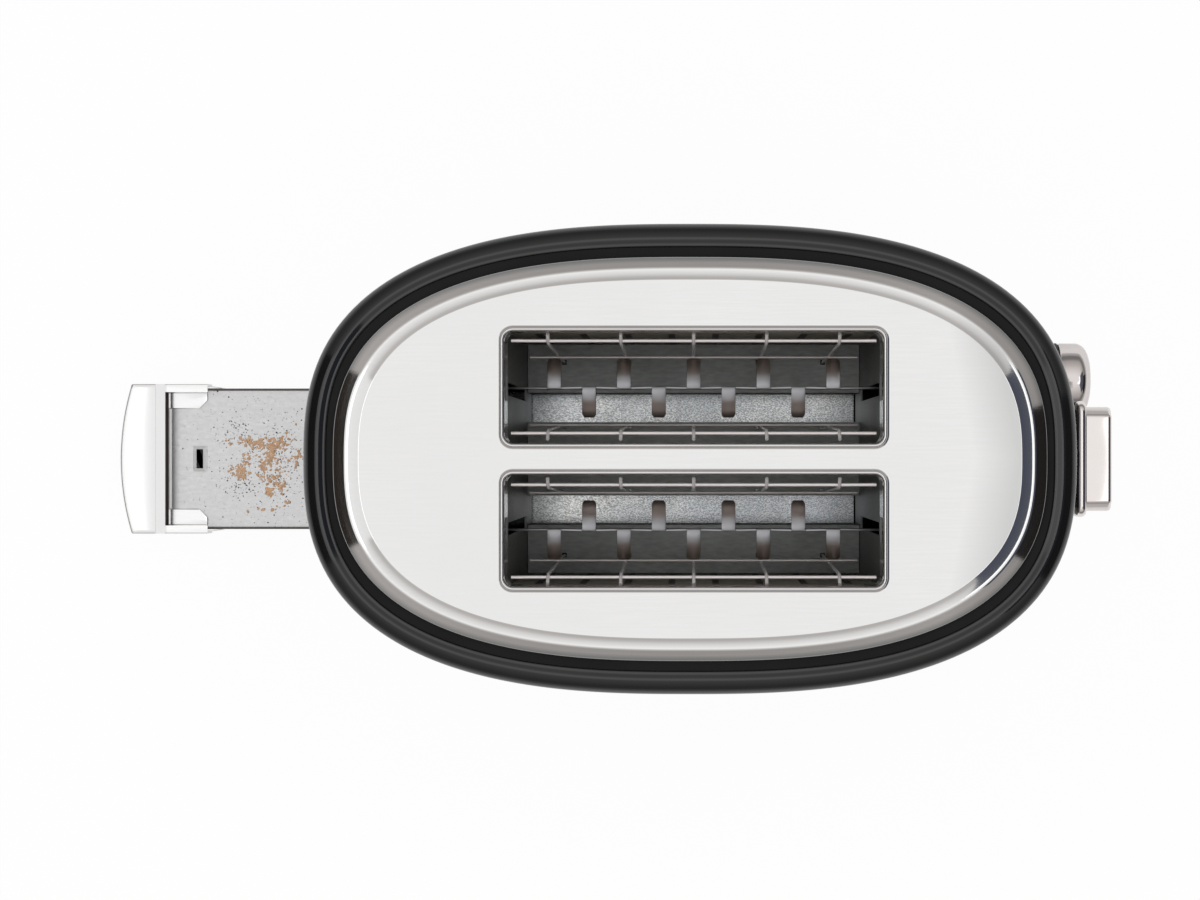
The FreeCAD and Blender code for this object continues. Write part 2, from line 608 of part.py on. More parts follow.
def make_outer_shell():
    """Oval wrap with the openings for tray handle, lever, dial and buttons."""
    outside = oval_slab("shell_outside", 0, "shell_foot", "seam_height")
    inside = oval_slab("shell_inside", mm("shell_wall"), "shell_foot", "seam_height")
    rear = "-1 * body_half_length"
    recess = box(
        "shell_recess",
        (f"{rear} - overrun", f"{rear} + handle_depth"),
        ("-1 * (handle_half_width + recess_gap)", "handle_half_width + recess_gap"),
        ("shell_foot - overrun", "handle_top + recess_gap"),
    )
    slot = box(
        "shell_slot",
        ("body_half_length - overrun", "flange_back + overrun"),
        ("-1 * (arm_sheet / 2 + arm_slot_gap)", "arm_sheet / 2 + arm_slot_gap"),
        ("arm_bottom - travel - arm_slot_gap", "arm_bottom + arm_height + arm_slot_gap"),
    )
    shaft_hole = rod(
        "shell_shaft_hole", "x", ("dial_y", "dial_z"), "shaft_radius + shaft_gap", "hole_back", "dial_back",
    )
    holes = []
    for i in range(3):
        y, z = button_window(i, "button_gap")
        holes.append(box(f"shell_button_hole_{i}", ("hole_back", "dial_back"), y, z))
    return cut("outer_shell", outside, [inside, recess, slot, shaft_hole] + holes)


def make_top_ring():
    """Moulded ring: rounded shoulder, a fine step and a ledge for the plate."""
    edge = mm("body_half_length")
    radius, shoulder, seam = mm("shoulder_radius"), mm("shoulder_height"), mm("seam_height")
    step = mm("crest_inset")
    ledge = mm("ledge_height")
    first = ledge + mm("ledge_depth")
    wall = mm("ring_wall")
    lip = edge - mm("ledge_inset")
    inner = edge - wall
    shoulder_round = [(edge - radius * across, shoulder + radius * along) for along, across in ROUND_SHARES]
    steps = [
        (edge - step, first),
        (edge - step, ledge),
        (lip, ledge),
        (lip, ledge - wall),
    ]
    outline = [(edge, seam)] + shoulder_round + steps
    outline += [(inner, ledge - wall), (inner, seam)]
    return swept("top_ring", section(outline), body_oval(0, shoulder))


def plate_stack(shares, drawn_in, lowered, run_down):
    """The plate's raised form as a solid, drawn in and lowered for its hollow."""
    low = mm("ledge_height")
    high = mm("plate_height")
    wires = []
    for width_share, height_share in shares:
        half_length = mm("plate_edge_half_length")
        half_length += (mm("plate_flat_half_length") - half_length) * width_share
        half_width = mm("plate_edge_half_width")
        half_width += (mm("plate_flat_half_width") - half_width) * width_share
        height = low + (high - low) * height_share - lowered
        wires.append(oval(half_length - drawn_in, half_width - drawn_in, height))
    if run_down > 0:
        first = wires[0].copy()
        first.translate(vec(0, 0, -run_down))
        wires.insert(0, first)
    return Part.makeLoft(wires, True, True)


def slot_path(side):
    """Rounded rectangle along the inside of a slot's rim."""
    x, y = mm("slot_half_length"), mm("slot_half_width")
    r = mm("slot_corner")
    k = r * (1 - math.sqrt(HALF_SHARE))
    z = mm("plate_height")
    middle = vec(mm("slot_middle"), side * mm("slot_offset"), z)
    edges = []
    corners = [(1, 1), (-1, 1), (-1, -1), (1, -1)]
    last = vec(x, r - y, 0)
    for index, (sx, sy) in enumerate(corners):
        along = vec(sx * x, sy * (y - r), 0)
        across = vec(sx * (x - r), sy * y, 0)
        start, end = (along, across) if index % 2 == 0 else (across, along)
        bend = vec(sx * (x - k), sy * (y - k), 0)
        edges.append(Part.LineSegment(last + middle, start + middle).toShape())
        edges.append(Part.Arc(start + middle, bend + middle, end + middle).toShape())
        last = end
    return Part.Wire(edges)


def slot_opening(side):
    """The slot's opening as a solid through the plate."""
    path = slot_path(side)
    path.translate(vec(0, 0, mm("overrun")))
    return Part.Face(path).extrude(vec(0, 0, -mm("collar_depth") - 2 * mm("overrun")))


def make_top_plate():
    """Drawn steel plate with two slots, their rolled rims and the collars under them."""
    top = mm("plate_height")
    sheet_gap = mm("plate_sheet")
    solid = plate_stack(PLATE_EDGE_SHARES, 0.0, 0.0, 0.0)
    hollow = plate_stack(PLATE_HOLLOW_SHARES, sheet_gap, sheet_gap, mm("overrun"))
    skin = feature("plate_skin", solid.cut(hollow))
    openings = [feature(f"plate_opening_{n}", slot_opening(side)) for n, side in enumerate((1, -1))]
    holed = cut("plate_holed", skin, openings)
    wall = mm("slot_middle") + mm("slot_half_length")
    bead, rise = mm("bead_width"), mm("bead_rise")
    collar = mm("collar_sheet")
    low = top - mm("collar_depth")
    rims = []
    for n, side in enumerate((1, -1)):
        crown = [(wall + bead * share, top + rise) for share in BEAD_CROWN_SHARES]
        under = [(wall + bead, top - sheet_gap), (wall + collar, top - sheet_gap), (wall + collar, low)]
        rim = section([(wall, low), (wall, top)] + crown + [(wall + bead, top)] + under)
        rim.translate(vec(0, side * mm("slot_offset"), 0))
        rims.append(swept(f"plate_rim_{n}", rim, slot_path(side)))
    whole = fused("plate_whole", [holed] + rims)
    cuts = []
    reach = "slot_half_width + collar_sheet + overrun"
    for n, side in enumerate((1, -1)):
        middle = on_side(side, "slot_offset")
        cuts.append(box(
            f"plate_side_cut_{n}",
            ("slot_middle - slot_half_length + collar_end_length",
             "slot_middle + slot_half_length - collar_end_length"),
            (f"{middle} - ({reach})", f"{middle} + {reach}"),
            ("plate_height - collar_depth - overrun", "plate_height - collar_side_depth"),
        ))
        cuts.append(box(
            f"plate_notch_{n}",
            ("slot_middle - slot_half_length - overrun", "slot_middle + slot_half_length + overrun"),
            (f"{middle} - notch_width / 2", f"{middle} + notch_width / 2"),
            ("plate_height - collar_depth - overrun", "plate_height - notch_top"),
        ))
    return cut("top_plate", whole, cuts)


# Base, feet and fasteners

BASE_FLOOR = "stand_gap + base_sheet"
SIGNS = [(sx, sy) for sx in (1, -1) for sy in (1, -1)]


def square_hole(x, y, half):
    """The two ranges of a square round a place."""
    return (f"{x} - ({half})", f"{x} + {half}"), (f"{y} - ({half})", f"{y} + {half}")


def screw_places():
    """X formulas of the chassis screws, in the middle of each foot flange."""
    reach = "oven_half_length + oven_sheet + end_foot_length / 2"
    return [f"slot_middle + {reach}", f"slot_middle - ({reach})"]


def make_base_pan():
    """Moulded base: skirt, rim inside the shell, rails and ribs of the tray, bosses and posts."""
    inner = mm("shell_wall") + mm("fit_gap")
    skirt = oval_slab("pan_skirt", mm("skirt_inset"), "stand_gap", "shell_foot")
    rim = oval_slab("pan_rim", inner, BASE_FLOOR, "rim_top")
    hollow = oval_slab("pan_hollow", inner + mm("rim_wall"), BASE_FLOOR, "rim_top + overrun")
    walls = cut("pan_walls", fused("pan_outside", [skirt, rim]), [hollow])
    tray_side = "tray_half_width + rail_gap"
    rail_top = "tray_level + tray_lip + rail_gap + rail_wall"
    bed = "tray_level - tray_sheet - fit_gap - bed_sheet"
    front = "slot_middle + oven_half_length - fit_gap"
    parts = []
    for n, side in enumerate((1, -1)):
        parts.append(box(f"pan_rail_{n}", ("rail_rear", front),
                         around(side, tray_side, f"{tray_side} + rail_wall"), (BASE_FLOOR, rail_top)))
        parts.append(box(f"pan_rail_lip_{n}", ("rail_rear", front),
                         around(side, f"{tray_side} - rail_lip", f"{tray_side} + rail_wall"),
                         (f"{rail_top} - rail_wall", rail_top)))
        parts.append(box(f"pan_post_{n}",
                         ("board_x - post_reach", "board_x + circuit_sheet + post_reach"),
                         around(side, "post_offset", "post_offset + post_width"),
                         (BASE_FLOOR, "post_top")))
    for n, side in enumerate((1, 0, -1)):
        middle = f"{side} * bed_rib_offset"
        parts.append(box(f"pan_rib_{n}", ("rail_rear", front),
                         (f"{middle} - bed_rib_wall / 2", f"{middle} + bed_rib_wall / 2"),
                         (BASE_FLOOR, bed)))
    parts.append(rod("pan_rod_boss", "z", ("rod_x", "0"), "rod_boss_radius", BASE_FLOOR, "rod_boss_top"))
    solid = fused("pan_solid", [walls] + parts)
    rear = "-1 * body_half_length"
    recess = "handle_half_width + recess_gap"
    cuts = [
        box("pan_recess", (f"{rear} - overrun", f"{rear} + handle_depth"),
            (f"-1 * ({recess})", recess), (BASE_FLOOR, "rim_top + overrun")),
        rod(
            "pan_rod_hole",
            "z",
            ("rod_x", "0"),
            "rod_radius + run_gap",
            "rod_foot",
            "rod_boss_top + overrun",
        ),
        box("pan_inlet", ("inlet_x", "inlet_x + inlet_length"), ("inlet_y", "inlet_y + inlet_width"),
            ("stand_gap - overrun", "shell_foot")),
        box("pan_groove", ("board_x - run_gap", "board_x + circuit_sheet + run_gap"),
            ("-1 * circuit_half_width - run_gap", "circuit_half_width + run_gap"),
            ("circuit_bottom", "post_top + overrun")),
    ]
    for n, x in enumerate(screw_places()):
        for m, sy in enumerate((1, -1)):
            hole = square_hole(x, f"{sy} * screw_y", "screw_shank + run_gap")
            cuts.append(box(f"pan_screw_hole_{n}{m}", *hole, ("stand_gap - overrun", "shell_foot")))
    return cut("base_pan", solid, cuts)


def make_feet():
    """Four rubber feet under the base."""
    return group("feet", [
        rod(f"foot_{n}", "z", (f"{sx} * foot_x", f"{sy} * foot_y"), "foot_radius", "0", "stand_gap")
        for n, (sx, sy) in enumerate(SIGNS)
    ])


def make_chassis_screws():
    """Four hexagon screws that hold the chassis' foot flanges on the base."""
    screws = []
    seat = f"{BASE_FLOOR} + oven_sheet"
    for n, x in enumerate(screw_places()):
        for m, sy in enumerate((1, -1)):
            head = doc.addObject("Part::Prism", f"screw_head_{n}{m}")
            head.Polygon = 6
            head.setExpression("Circumradius", cell("screw_head"))
            head.setExpression("Height", cell("screw_head_depth"))
            head.setExpression(".Placement.Base.x", cell(x))
            head.setExpression(".Placement.Base.y", cell(f"{sy} * screw_y"))
            head.setExpression(".Placement.Base.z", cell(seat))
            neck = box(f"screw_neck_{n}{m}", *square_hole(x, f"{sy} * screw_y", "screw_shank"),
                       ("stand_gap", f"{seat} + screw_head_depth / 2"))
            screws.append(fused(f"screw_{n}{m}", [head, neck]))
    return group("chassis_screws", screws)


def make_terminal_block():
    """Terminal block on the base with three clamping screws' wells."""
    body = new_body("terminal_block")
    x = ("terminal_x", "terminal_x + terminal_length")
    y = ("terminal_y", "terminal_y + terminal_width")
    add_block(body, x, y, (BASE_FLOOR, f"{BASE_FLOOR} + terminal_height"))
    for index in (1, 3, 5):
        x, y = square_hole(f"terminal_x + {index} * terminal_length / 6", "terminal_y + terminal_width / 2",
                           "terminal_width / 5")
        cut_block(body, x, y, (f"{BASE_FLOOR} + terminal_height / 2", f"{BASE_FLOOR} + terminal_height"))
    return body


# Oven chassis

def make_end_wall(label, sense):
    """End wall of the oven: tabs to the plate, arch over the tray, slots for the racks, feet."""
    body = new_body(label)
    inside = "slot_middle + oven_half_length"
    if sense > 0:
        x = (inside, f"{inside} + oven_sheet")
        foot = (inside, f"{inside} + oven_sheet + end_foot_length")
    else:
        x = ("slot_middle - oven_half_length - oven_sheet", "slot_middle - oven_half_length")
        foot = (f"{x[0]} - end_foot_length", x[1])
    high = "plate_height - plate_sheet - end_tab_gap"
    half = [
        ("end_tab_middle / 2", high),
        ("end_tab_middle / 2", "end_wall_top"),
        ("oven_half_width - end_tab_width", "end_wall_top"),
        ("oven_half_width - end_tab_width", high),
        ("oven_half_width", high),
        ("oven_half_width", BASE_FLOOR),
        ("oven_half_width - end_leg_width", BASE_FLOOR),
        ("oven_half_width - end_leg_width", "end_arch_top"),
    ]
    mirrored = [(f"-1 * ({u})", v) for u, v in reversed(half)]
    add_prism(body, "YZ", half + mirrored, *x)
    for side in (1, -1):
        middle = on_side(side, "slot_offset")
        cut_prism(body, "YZ",
                  rectangle((f"{middle} - rack_slot_width / 2", f"{middle} + rack_slot_width / 2"),
                            ("rack_slot_bottom", "rack_slot_top")), *x)
        add_block(body, foot, around(side, "oven_half_width - end_leg_width", "oven_half_width"),
                  (BASE_FLOOR, f"{BASE_FLOOR} + oven_sheet"))
        place = screw_places()[0 if sense > 0 else 1]
        cut_block(body, *square_hole(place, f"{side} * screw_y", "screw_shank + run_gap"),
                  (BASE_FLOOR, f"{BASE_FLOOR} + oven_sheet"))
    return body


OVEN_X = ("slot_middle - oven_half_length + fit_gap", "slot_middle + oven_half_length - fit_gap")


def guard_places():
    """X formulas of the upright wires of a guard."""
    return [f"slot_middle + {k} * wire_pitch" for k in (-2, -1, 0, 1, 2)]


def make_floor_plate(label, side):
    """Outer floor plate with the flange that leads the crumbs down to the tray."""
    body = new_body(label)
    profile = [
        ("floor_inner", "chute_bottom"),
        ("floor_inner + oven_sheet", "chute_bottom"),
        ("floor_inner + oven_sheet", "floor_height - oven_sheet"),
        ("floor_outer", "floor_height - oven_sheet"),
        ("floor_outer", "floor_height"),
        ("floor_inner", "floor_height"),
    ]
    add_prism(body, "YZ", [(on_side(side, u), v) for u, v in profile], *OVEN_X)
    for x in guard_places():
        cut_block(body, *square_hole(x, on_side(side, "guard_foot_outer"), "guard_hole"),
                  ("floor_height - oven_sheet", "floor_height"))
    return body


def make_middle_channel():
    """Channel between the slots that carries the inner guards."""
    body = new_body("middle_channel")
    half = [
        ("channel_half_width", "floor_height"),
        ("channel_half_width", "floor_height - channel_flange"),
        ("channel_half_width - shield_sheet", "floor_height - channel_flange"),
        ("channel_half_width - shield_sheet", "floor_height - oven_sheet"),
    ]
    mirrored = [(f"-1 * ({u})", v) for u, v in reversed(half)]
    add_prism(body, "YZ", half + mirrored, *OVEN_X)
    for side in (1, -1):
        for x in guard_places():
            cut_block(body, *square_hole(x, on_side(side, "guard_foot_inner"), "guard_hole"),
                      ("floor_height - oven_sheet", "floor_height"))
    return body


def make_side_shield(label, side):
    """Heat shield beside the oven with three rows of vent slots."""
    body = new_body(label)
    y = around(side, "shield_offset", "shield_offset + shield_sheet")
    add_block(body, OVEN_X, y, (BASE_FLOOR, "shield_top"))
    for column in (-1, 1):
        middle = f"slot_middle + {column} * oven_half_length / 2"
        x = (f"{middle} - vent_length / 2", f"{middle} + vent_length / 2")
        for row in range(3):
            z = f"{BASE_FLOOR} + {row + 1} * vent_pitch"
            cut_prism(body, "XZ", rectangle(x, (z, f"{z} + vent_height")), *y)
    return body


def make_crumb_bed():
    """Bright sheet on the base's ribs, over which the tray slides."""
    body = new_body("crumb_bed")
    top = "tray_level - tray_sheet - fit_gap"
    add_block(body, OVEN_X, ("-1 * tray_half_width", "tray_half_width"), (f"{top} - bed_sheet", top))
    return body


# Heaters

def make_heater_board(label, y):
    body = new_body(label)
    add_block(body, OVEN_X, y, ("board_bottom", "board_top"))
    return body


def ribbon(y):
    """Flat ribbon that runs up and down one face of a board, as one solid."""
    runs = int(mm("ribbon_runs"))
    width = mm("ribbon_width")
    low, high = mm("board_bottom + ribbon_margin"), mm("board_top - ribbon_margin")
    left = mm(OVEN_X[0]) + mm("ribbon_margin")
    pitch = (mm(OVEN_X[1]) - mm("ribbon_margin") - width - left) / (runs - 1)
    near, far = sorted(mm(text) for text in y)
    solids = []
    for run in range(runs):
        x = left + run * pitch
        solids.append(Part.makeBox(width, far - near, high - low, vec(x, near, low)))
        if run < runs - 1:
            turn = high - width if run % 2 == 0 else low
            solids.append(Part.makeBox(pitch + width, far - near, width, vec(x, near, turn)))
    return solids[0].multiFuse(solids[1:]).removeSplitter()


# Bread guards

def ring_of(centre, normal, radius, corners):
    """A closed regular polygon square to the normal."""
    across = normal.cross(vec(0, 0, 1)) if abs(normal.z) < normal.Length * WIRE_STEEP_SHARE else vec(1, 0, 0)
    across.normalize()
    up = across.cross(normal)
    up.normalize()
    points = []
    for index in range(corners + 1):
        angle = 2 * math.pi * index / corners
        points.append(centre + across * (radius * math.cos(angle)) + up * (radius * math.sin(angle)))
    return Part.makePolygon(points)


def wire_along(points, radius):
    """A hexagonal wire along a bent line with mitred bends."""
    path = Part.makePolygon(points)
    ring = ring_of(points[0], points[1] - points[0], radius, 6)
    return path.makePipeShell([ring], True, False, 1)


def make_guard(label, side, foot, knee, tip, outward):
    """Welded guard: two lengthwise wires and five uprights, bent at the top."""
    radius = mm("wire_radius")
    middle = mm("slot_middle")
    foot_y, knee_y, tip_y = (side * mm(name) for name in (foot, knee, tip))
    foot_z = mm("floor_height - guard_stub")
    knee_z, tip_z, middle_z = mm("guard_knee_height"), mm("guard_tip_height"), mm("guard_middle_wire")
    behind = side * outward * (2 * radius - mm("wire_weld"))
    solids = []
    for text in guard_places():
        x = mm(text)
        bend = [vec(x, foot_y, foot_z), vec(x, knee_y, knee_z), vec(x, tip_y, tip_z)]
        solids.append(wire_along(bend, radius))
    share = (middle_z - foot_z) / (knee_z - foot_z)
    middle_y = foot_y + (knee_y - foot_y) * share
    lengthwise = ((middle_y - behind, middle_z, "wire_middle_half_length"),
                  (knee_y + behind, knee_z, "wire_half_length"))
    for y, z, half_length in lengthwise:
        reach = vec(mm(half_length), 0, 0)
        centre = vec(middle, y, z)
        solids.append(wire_along([centre - reach, centre + reach], radius))
    cage = solids[0].multiFuse(solids[1:])
    return feature(label, cage)


# Bread racks and carriage

CARRIAGE_BACK = "slot_middle + oven_half_length + oven_sheet + carriage_gap"


def make_rack(label, side):
    """Strip on edge with tabs bent out to both sides by turns."""
    sheet_half = mm("rack_sheet") * HALF_SHARE
    top, depth = mm("rack_top"), mm("rack_depth")
    thick = mm("rack_sheet")
    rear = mm("slot_middle - oven_half_length - oven_sheet - rack_rear_reach")
    front = mm(CARRIAGE_BACK)
    y = side * mm("slot_offset")
    web_top = top - thick - mm("tab_droop") * HALF_SHARE
    web = Part.makeBox(front - rear, thick, web_top - (top - depth), vec(rear, y - sheet_half, top - depth))
    solids = [web]
    for k in range(-4, 5):
        way = side if k % 2 == 0 else -side
        x = mm("slot_middle") + k * mm("tab_pitch") * HALF_SHARE - mm("tab_width") * HALF_SHARE
        reach = mm("tab_reach")
        line = [
            vec(x, y - way * sheet_half, web_top),
            vec(x, y + way * reach * HALF_SHARE, top),
            vec(x, y + way * reach, top - mm("tab_droop")),
        ]
        drop = vec(0, 0, -thick)
        loop = line + [point + drop for point in reversed(line)]
        tab = Part.Face(Part.makePolygon(loop + loop[:1]))
        solids.append(tab.extrude(vec(mm("tab_width"), 0, 0)))
    return feature(label, solids[0].multiFuse(solids[1:]).removeSplitter())


def make_carriage_plate():
    """Cross plate to which the two racks are fixed."""
    body = new_body("carriage_plate")
    add_prism(body, "YZ",
              rectangle(("-1 * carriage_half_width", "carriage_half_width"),
                        ("rack_top - carriage_height", "rack_top")),
              CARRIAGE_BACK, f"{CARRIAGE_BACK} + carriage_sheet")
    return body


def make_carriage_block():
    """Moulded bearing on the guide rod with bosses for the lever arm and the armature."""
    body = new_body("carriage_block")
    back = f"{CARRIAGE_BACK} + carriage_sheet"
    z = ("hub_bottom", "rack_top")
    add_round(body, "XY", ("rod_x", "0"), "hub_radius", *z)
    add_block(body, (back, "rod_x"), ("-1 * arm_boss_width / 2", "arm_boss_width / 2"),
              ("rack_top - carriage_height", "rack_top"))
    add_block(body, ("rod_x", "rod_x + arm_boss_reach"), ("-1 * arm_boss_width / 2", "arm_boss_width / 2"),
              ("arm_bottom - arm_sheet", "rack_top"))
    add_block(body, ("magnet_x - magnet_length / 2", "magnet_x + magnet_length / 2"),
              ("magnet_y - magnet_width / 2", "0"), ("hub_bottom", "hub_bottom + latch_arm_depth"))
    cut_round(body, "XY", ("rod_x", "0"), "rod_radius + run_gap", *z)
    return body


def make_latch_armature():
    """Soft iron plate that the magnet holds when the lever is down."""
    body = new_body("latch_armature")
    add_block(body, ("magnet_x - magnet_length / 2", "magnet_x + magnet_length / 2"),
              ("magnet_y - magnet_width / 2", "magnet_y + magnet_width / 2"),
              ("hub_bottom - armature_sheet", "hub_bottom"))
    return body


def make_lever_arm():
    """Steel arm from the carriage through the shell's slot into the lever."""
    body = new_body("lever_arm")
    add_block(body, ("rod_x + arm_boss_reach", "flange_back + flange_thickness / 2"),
              ("-1 * arm_sheet / 2", "arm_sheet / 2"), ("arm_bottom", "arm_bottom + arm_height"))
    return body


def make_lever():
    """Lever: a flange with rounded ends against the shell and a flat-topped bar before it."""
    body = new_body("lever")
    front = "flange_back + flange_thickness"
    middle = "flange_bottom + flange_height / 2"
    add_prism(body, "XY", rounded_end("flange_back", front, "flange_width / 2", "flange_round"),
              "flange_bottom", "flange_bottom + flange_height")
    add_prism(body, "XY", rounded_end(f"{front} - flange_thickness / 2", f"{front} + bar_reach",
                                      "bar_width / 2", "bar_round"),
              f"{middle} - bar_height / 2", f"{middle} + bar_height / 2")
    levels = [mm("flange_bottom"), mm("flange_bottom + flange_height")]
    levels += [mm(f"{middle} - bar_height / 2"), mm(f"{middle} + bar_height / 2")]
    back = mm("flange_back")
    small = mm("run_gap")
    bevel_edges(body, "lever_bevel", lambda edge: (
        any(edge.BoundBox.ZMin > z - small and edge.BoundBox.ZMax < z + small for z in levels)
        and edge.BoundBox.XMax > back + small
        and not edge_lies_on(edge, mm(front))
    ))
    cut_block(body, ("flange_back", "flange_back + flange_thickness / 2 + run_gap"),
              ("-1 * arm_sheet / 2 - run_gap", "arm_sheet / 2 + run_gap"),
              ("arm_bottom - run_gap", "arm_bottom + arm_height + run_gap"))
    return body


def rounded_end(back, front, half, radius):
    """Outline in plan of a block whose two front corners are rounded."""
    upper = [(back, half)] + corner_points(front, half, radius)
    lower = [(u, f"-1 * ({v})") for u, v in reversed(upper)]
    return upper + lower


def corner_points(front, half, radius, shares=ROUND_SHARES):
    """Chord points of a rounded corner from the side to the front."""
    return [
        (f"({front}) - ({radius}) * {1 - along}", f"({half}) - ({radius}) * {across}")
        for along, across in shares
    ]


def edge_lies_on(edge, x):
    """Whether an edge runs along the face at X."""
    small = mm("run_gap")
    return edge.BoundBox.XMin > x - small and edge.BoundBox.XMax < x + small


def make_guide_rod():
    return rod("guide_rod", "z", ("rod_x", "0"), "rod_radius", "rod_foot", "rod_top")


def make_rod_bracket():
    """Bracket that holds the upper end of the guide rod on the front end wall."""
    body = new_body("rod_bracket")
    outside = "slot_middle + oven_half_length + oven_sheet"
    y = ("-1 * end_tab_middle / 2", "end_tab_middle / 2")
    z = ("rod_top - carriage_sheet", "rod_top")
    add_block(body, (outside, "rod_x + hub_radius"), y, z)
    add_block(body, (outside, f"{outside} + carriage_sheet"), y, ("rod_top - end_foot_length", "rod_top"))
    cut_round(body, "XY", ("rod_x", "0"), "rod_radius + run_gap", *z)
    return body


def make_lift_spring():
    """Compression spring round the guide rod under the carriage, wound from half-turn arcs."""
    radius, wire = mm("spring_radius"), mm("spring_wire")
    low = mm("rod_boss_top") + wire
    high = mm("hub_bottom") - wire
    steps = int(mm("spring_turns")) * 4
    x = mm("rod_x")

    def place(step):
        angle = math.pi / 2 * step
        share = step / steps
        return vec(x + radius * math.cos(angle), radius * math.sin(angle), low + (high - low) * share)

    edges = [
        Part.Arc(place(step), place(step + HALF_SHARE), place(step + 1)).toShape()
        for step in range(steps)
    ]
    path = Part.Wire(edges)
    ring = ring_of(place(0), edges[0].tangentAt(edges[0].FirstParameter), wire, 4)
    pitch = (high - low) / int(mm("spring_turns"))
    print("lift spring: least gap between turns", round(pitch - 2 * wire, 2), "mm")
    return feature("lift_spring", path.makePipeShell([ring], True, False))


def make_magnet_core():
    """E-shaped core of the latch magnet."""
    body = new_body("magnet_core")
    left, right = "magnet_x - magnet_length / 2", "magnet_x + magnet_length / 2"
    y = ("magnet_y - magnet_width / 2", "magnet_y + magnet_width / 2")
    root = f"{BASE_FLOOR} + magnet_leg"
    middle_low, middle_high = "magnet_x - magnet_leg / 2", "magnet_x + magnet_leg / 2"
    profile = [
        (left, BASE_FLOOR), (right, BASE_FLOOR), (right, "magnet_top"),
        ("magnet_x + magnet_length / 2 - magnet_leg / 2", "magnet_top"),
        ("magnet_x + magnet_length / 2 - magnet_leg / 2", root),
        (middle_high, root), (middle_high, "magnet_top"), (middle_low, "magnet_top"), (middle_low, root),
        ("magnet_x - magnet_length / 2 + magnet_leg / 2", root),
        ("magnet_x - magnet_length / 2 + magnet_leg / 2", "magnet_top"), (left, "magnet_top"),
    ]
    add_prism(body, "XZ", profile, *y)
    return body


def make_magnet_coil():
    """Winding on the middle leg of the core."""
    gap = "run_gap"
    z = (f"{BASE_FLOOR} + magnet_leg + fit_gap", "magnet_top - magnet_leg / 2")
    inner_x = ("magnet_x - magnet_leg / 2 - " + gap, "magnet_x + magnet_leg / 2 + " + gap)
    inner_y = ("magnet_y - magnet_width / 2 - " + gap, "magnet_y + magnet_width / 2 + " + gap)
    body = new_body("magnet_coil")
    add_block(body, (f"{inner_x[0]} - coil_wall", f"{inner_x[1]} + coil_wall"),
              (f"{inner_y[0]} - coil_wall", f"{inner_y[1]} + coil_wall"), z)
    cut_block(body, inner_x, inner_y, z)
    return body


# Dial, buttons and board

def make_dial():
    """Turned dial with a large rounded front edge and a blind bore for its shaft."""
    body = new_body("dial")
    front = "dial_back + dial_depth"
    sketch = new_sketch(body, "XY", "dial_z")
    sketch.setExpression(".AttachmentOffset.Base.y", cell("dial_y"))
    draw_polygon(sketch, [("dial_back", "0")] + [("dial_back", "dial_radius")]
                 + corner_points(front, "dial_radius", "dial_round", PLAIN_ROUND_SHARES) + [(front, "0")])
    turned = body.newObject("PartDesign::Revolution", "turned")
    turned.Profile = sketch
    turned.ReferenceAxis = (sketch, ["H_Axis"])
    turned.Angle = 360
    bore_end = "dial_back + dial_bore"
    cut_round(body, "YZ", ("dial_y", "dial_z"), "shaft_radius + run_gap", "dial_back", bore_end)
    return body


def make_dial_shaft():
    start = "board_x + circuit_sheet + switch_depth + fit_gap"
    end = "dial_back + dial_bore - run_gap"
    return rod("dial_shaft", "x", ("dial_y", "dial_z"), "shaft_radius", start, end)


def make_dial_bezel():
    """Collar between shell and dial, its back cut to the oval of the shell."""
    collar = rod("bezel_collar", "x", ("dial_y", "dial_z"), "bezel_radius",
                 "hole_back", "dial_back - bezel_gap")
    keep_out = oval_slab("bezel_keep_out", -mm("fit_gap"), "dial_z - bezel_radius - overrun",
                         "dial_z + bezel_radius + overrun")
    bore = rod("bezel_bore", "x", ("dial_y", "dial_z"), "shaft_radius + run_gap",
               "hole_back - overrun", "dial_back")
    return cut("dial_bezel", collar, [keep_out, bore])


def make_dial_switch():
    """Timer switch on the control board, behind the dial's shaft."""
    body = new_body("dial_switch")
    back = "board_x + circuit_sheet"
    add_block(body, (back, f"{back} + switch_depth"),
              ("dial_y - switch_half_width", "dial_y + switch_half_width"),
              ("dial_z - switch_half_width", "dial_z + switch_half_width"))
    return body


def button_window(index, gap):
    """The Y and Z ranges of a button with a gap round it."""
    z = f"button_low + {index} * button_pitch"
    return (
        (f"button_y - button_half_width - {gap}", f"button_y + button_half_width + {gap}"),
        (f"{z} - button_half_height - {gap}", f"{z} + button_half_height + {gap}"),
    )


def make_button(label, index):
    """Push button: oblong cap, flange inside the shell and stem to its key switch."""
    body = new_body(label)
    back = "button_front - button_cap"
    y, z = button_window(index, "0")
    add_block(body, (back, "button_front"), y, z)
    front_x = mm("button_front")
    bevel_edges(body, "button_bevel", lambda edge: edge_lies_on(edge, front_x))
    y, z = button_window(index, "button_flange")
    add_block(body, (f"{back} - button_flange_depth", back), y, z)
    tip = "board_x + circuit_sheet + tact_depth + button_travel + button_gap"
    stem = square_hole("button_y", f"button_low + {index} * button_pitch", "button_stem")
    add_block(body, (tip, back), *stem)
    return body


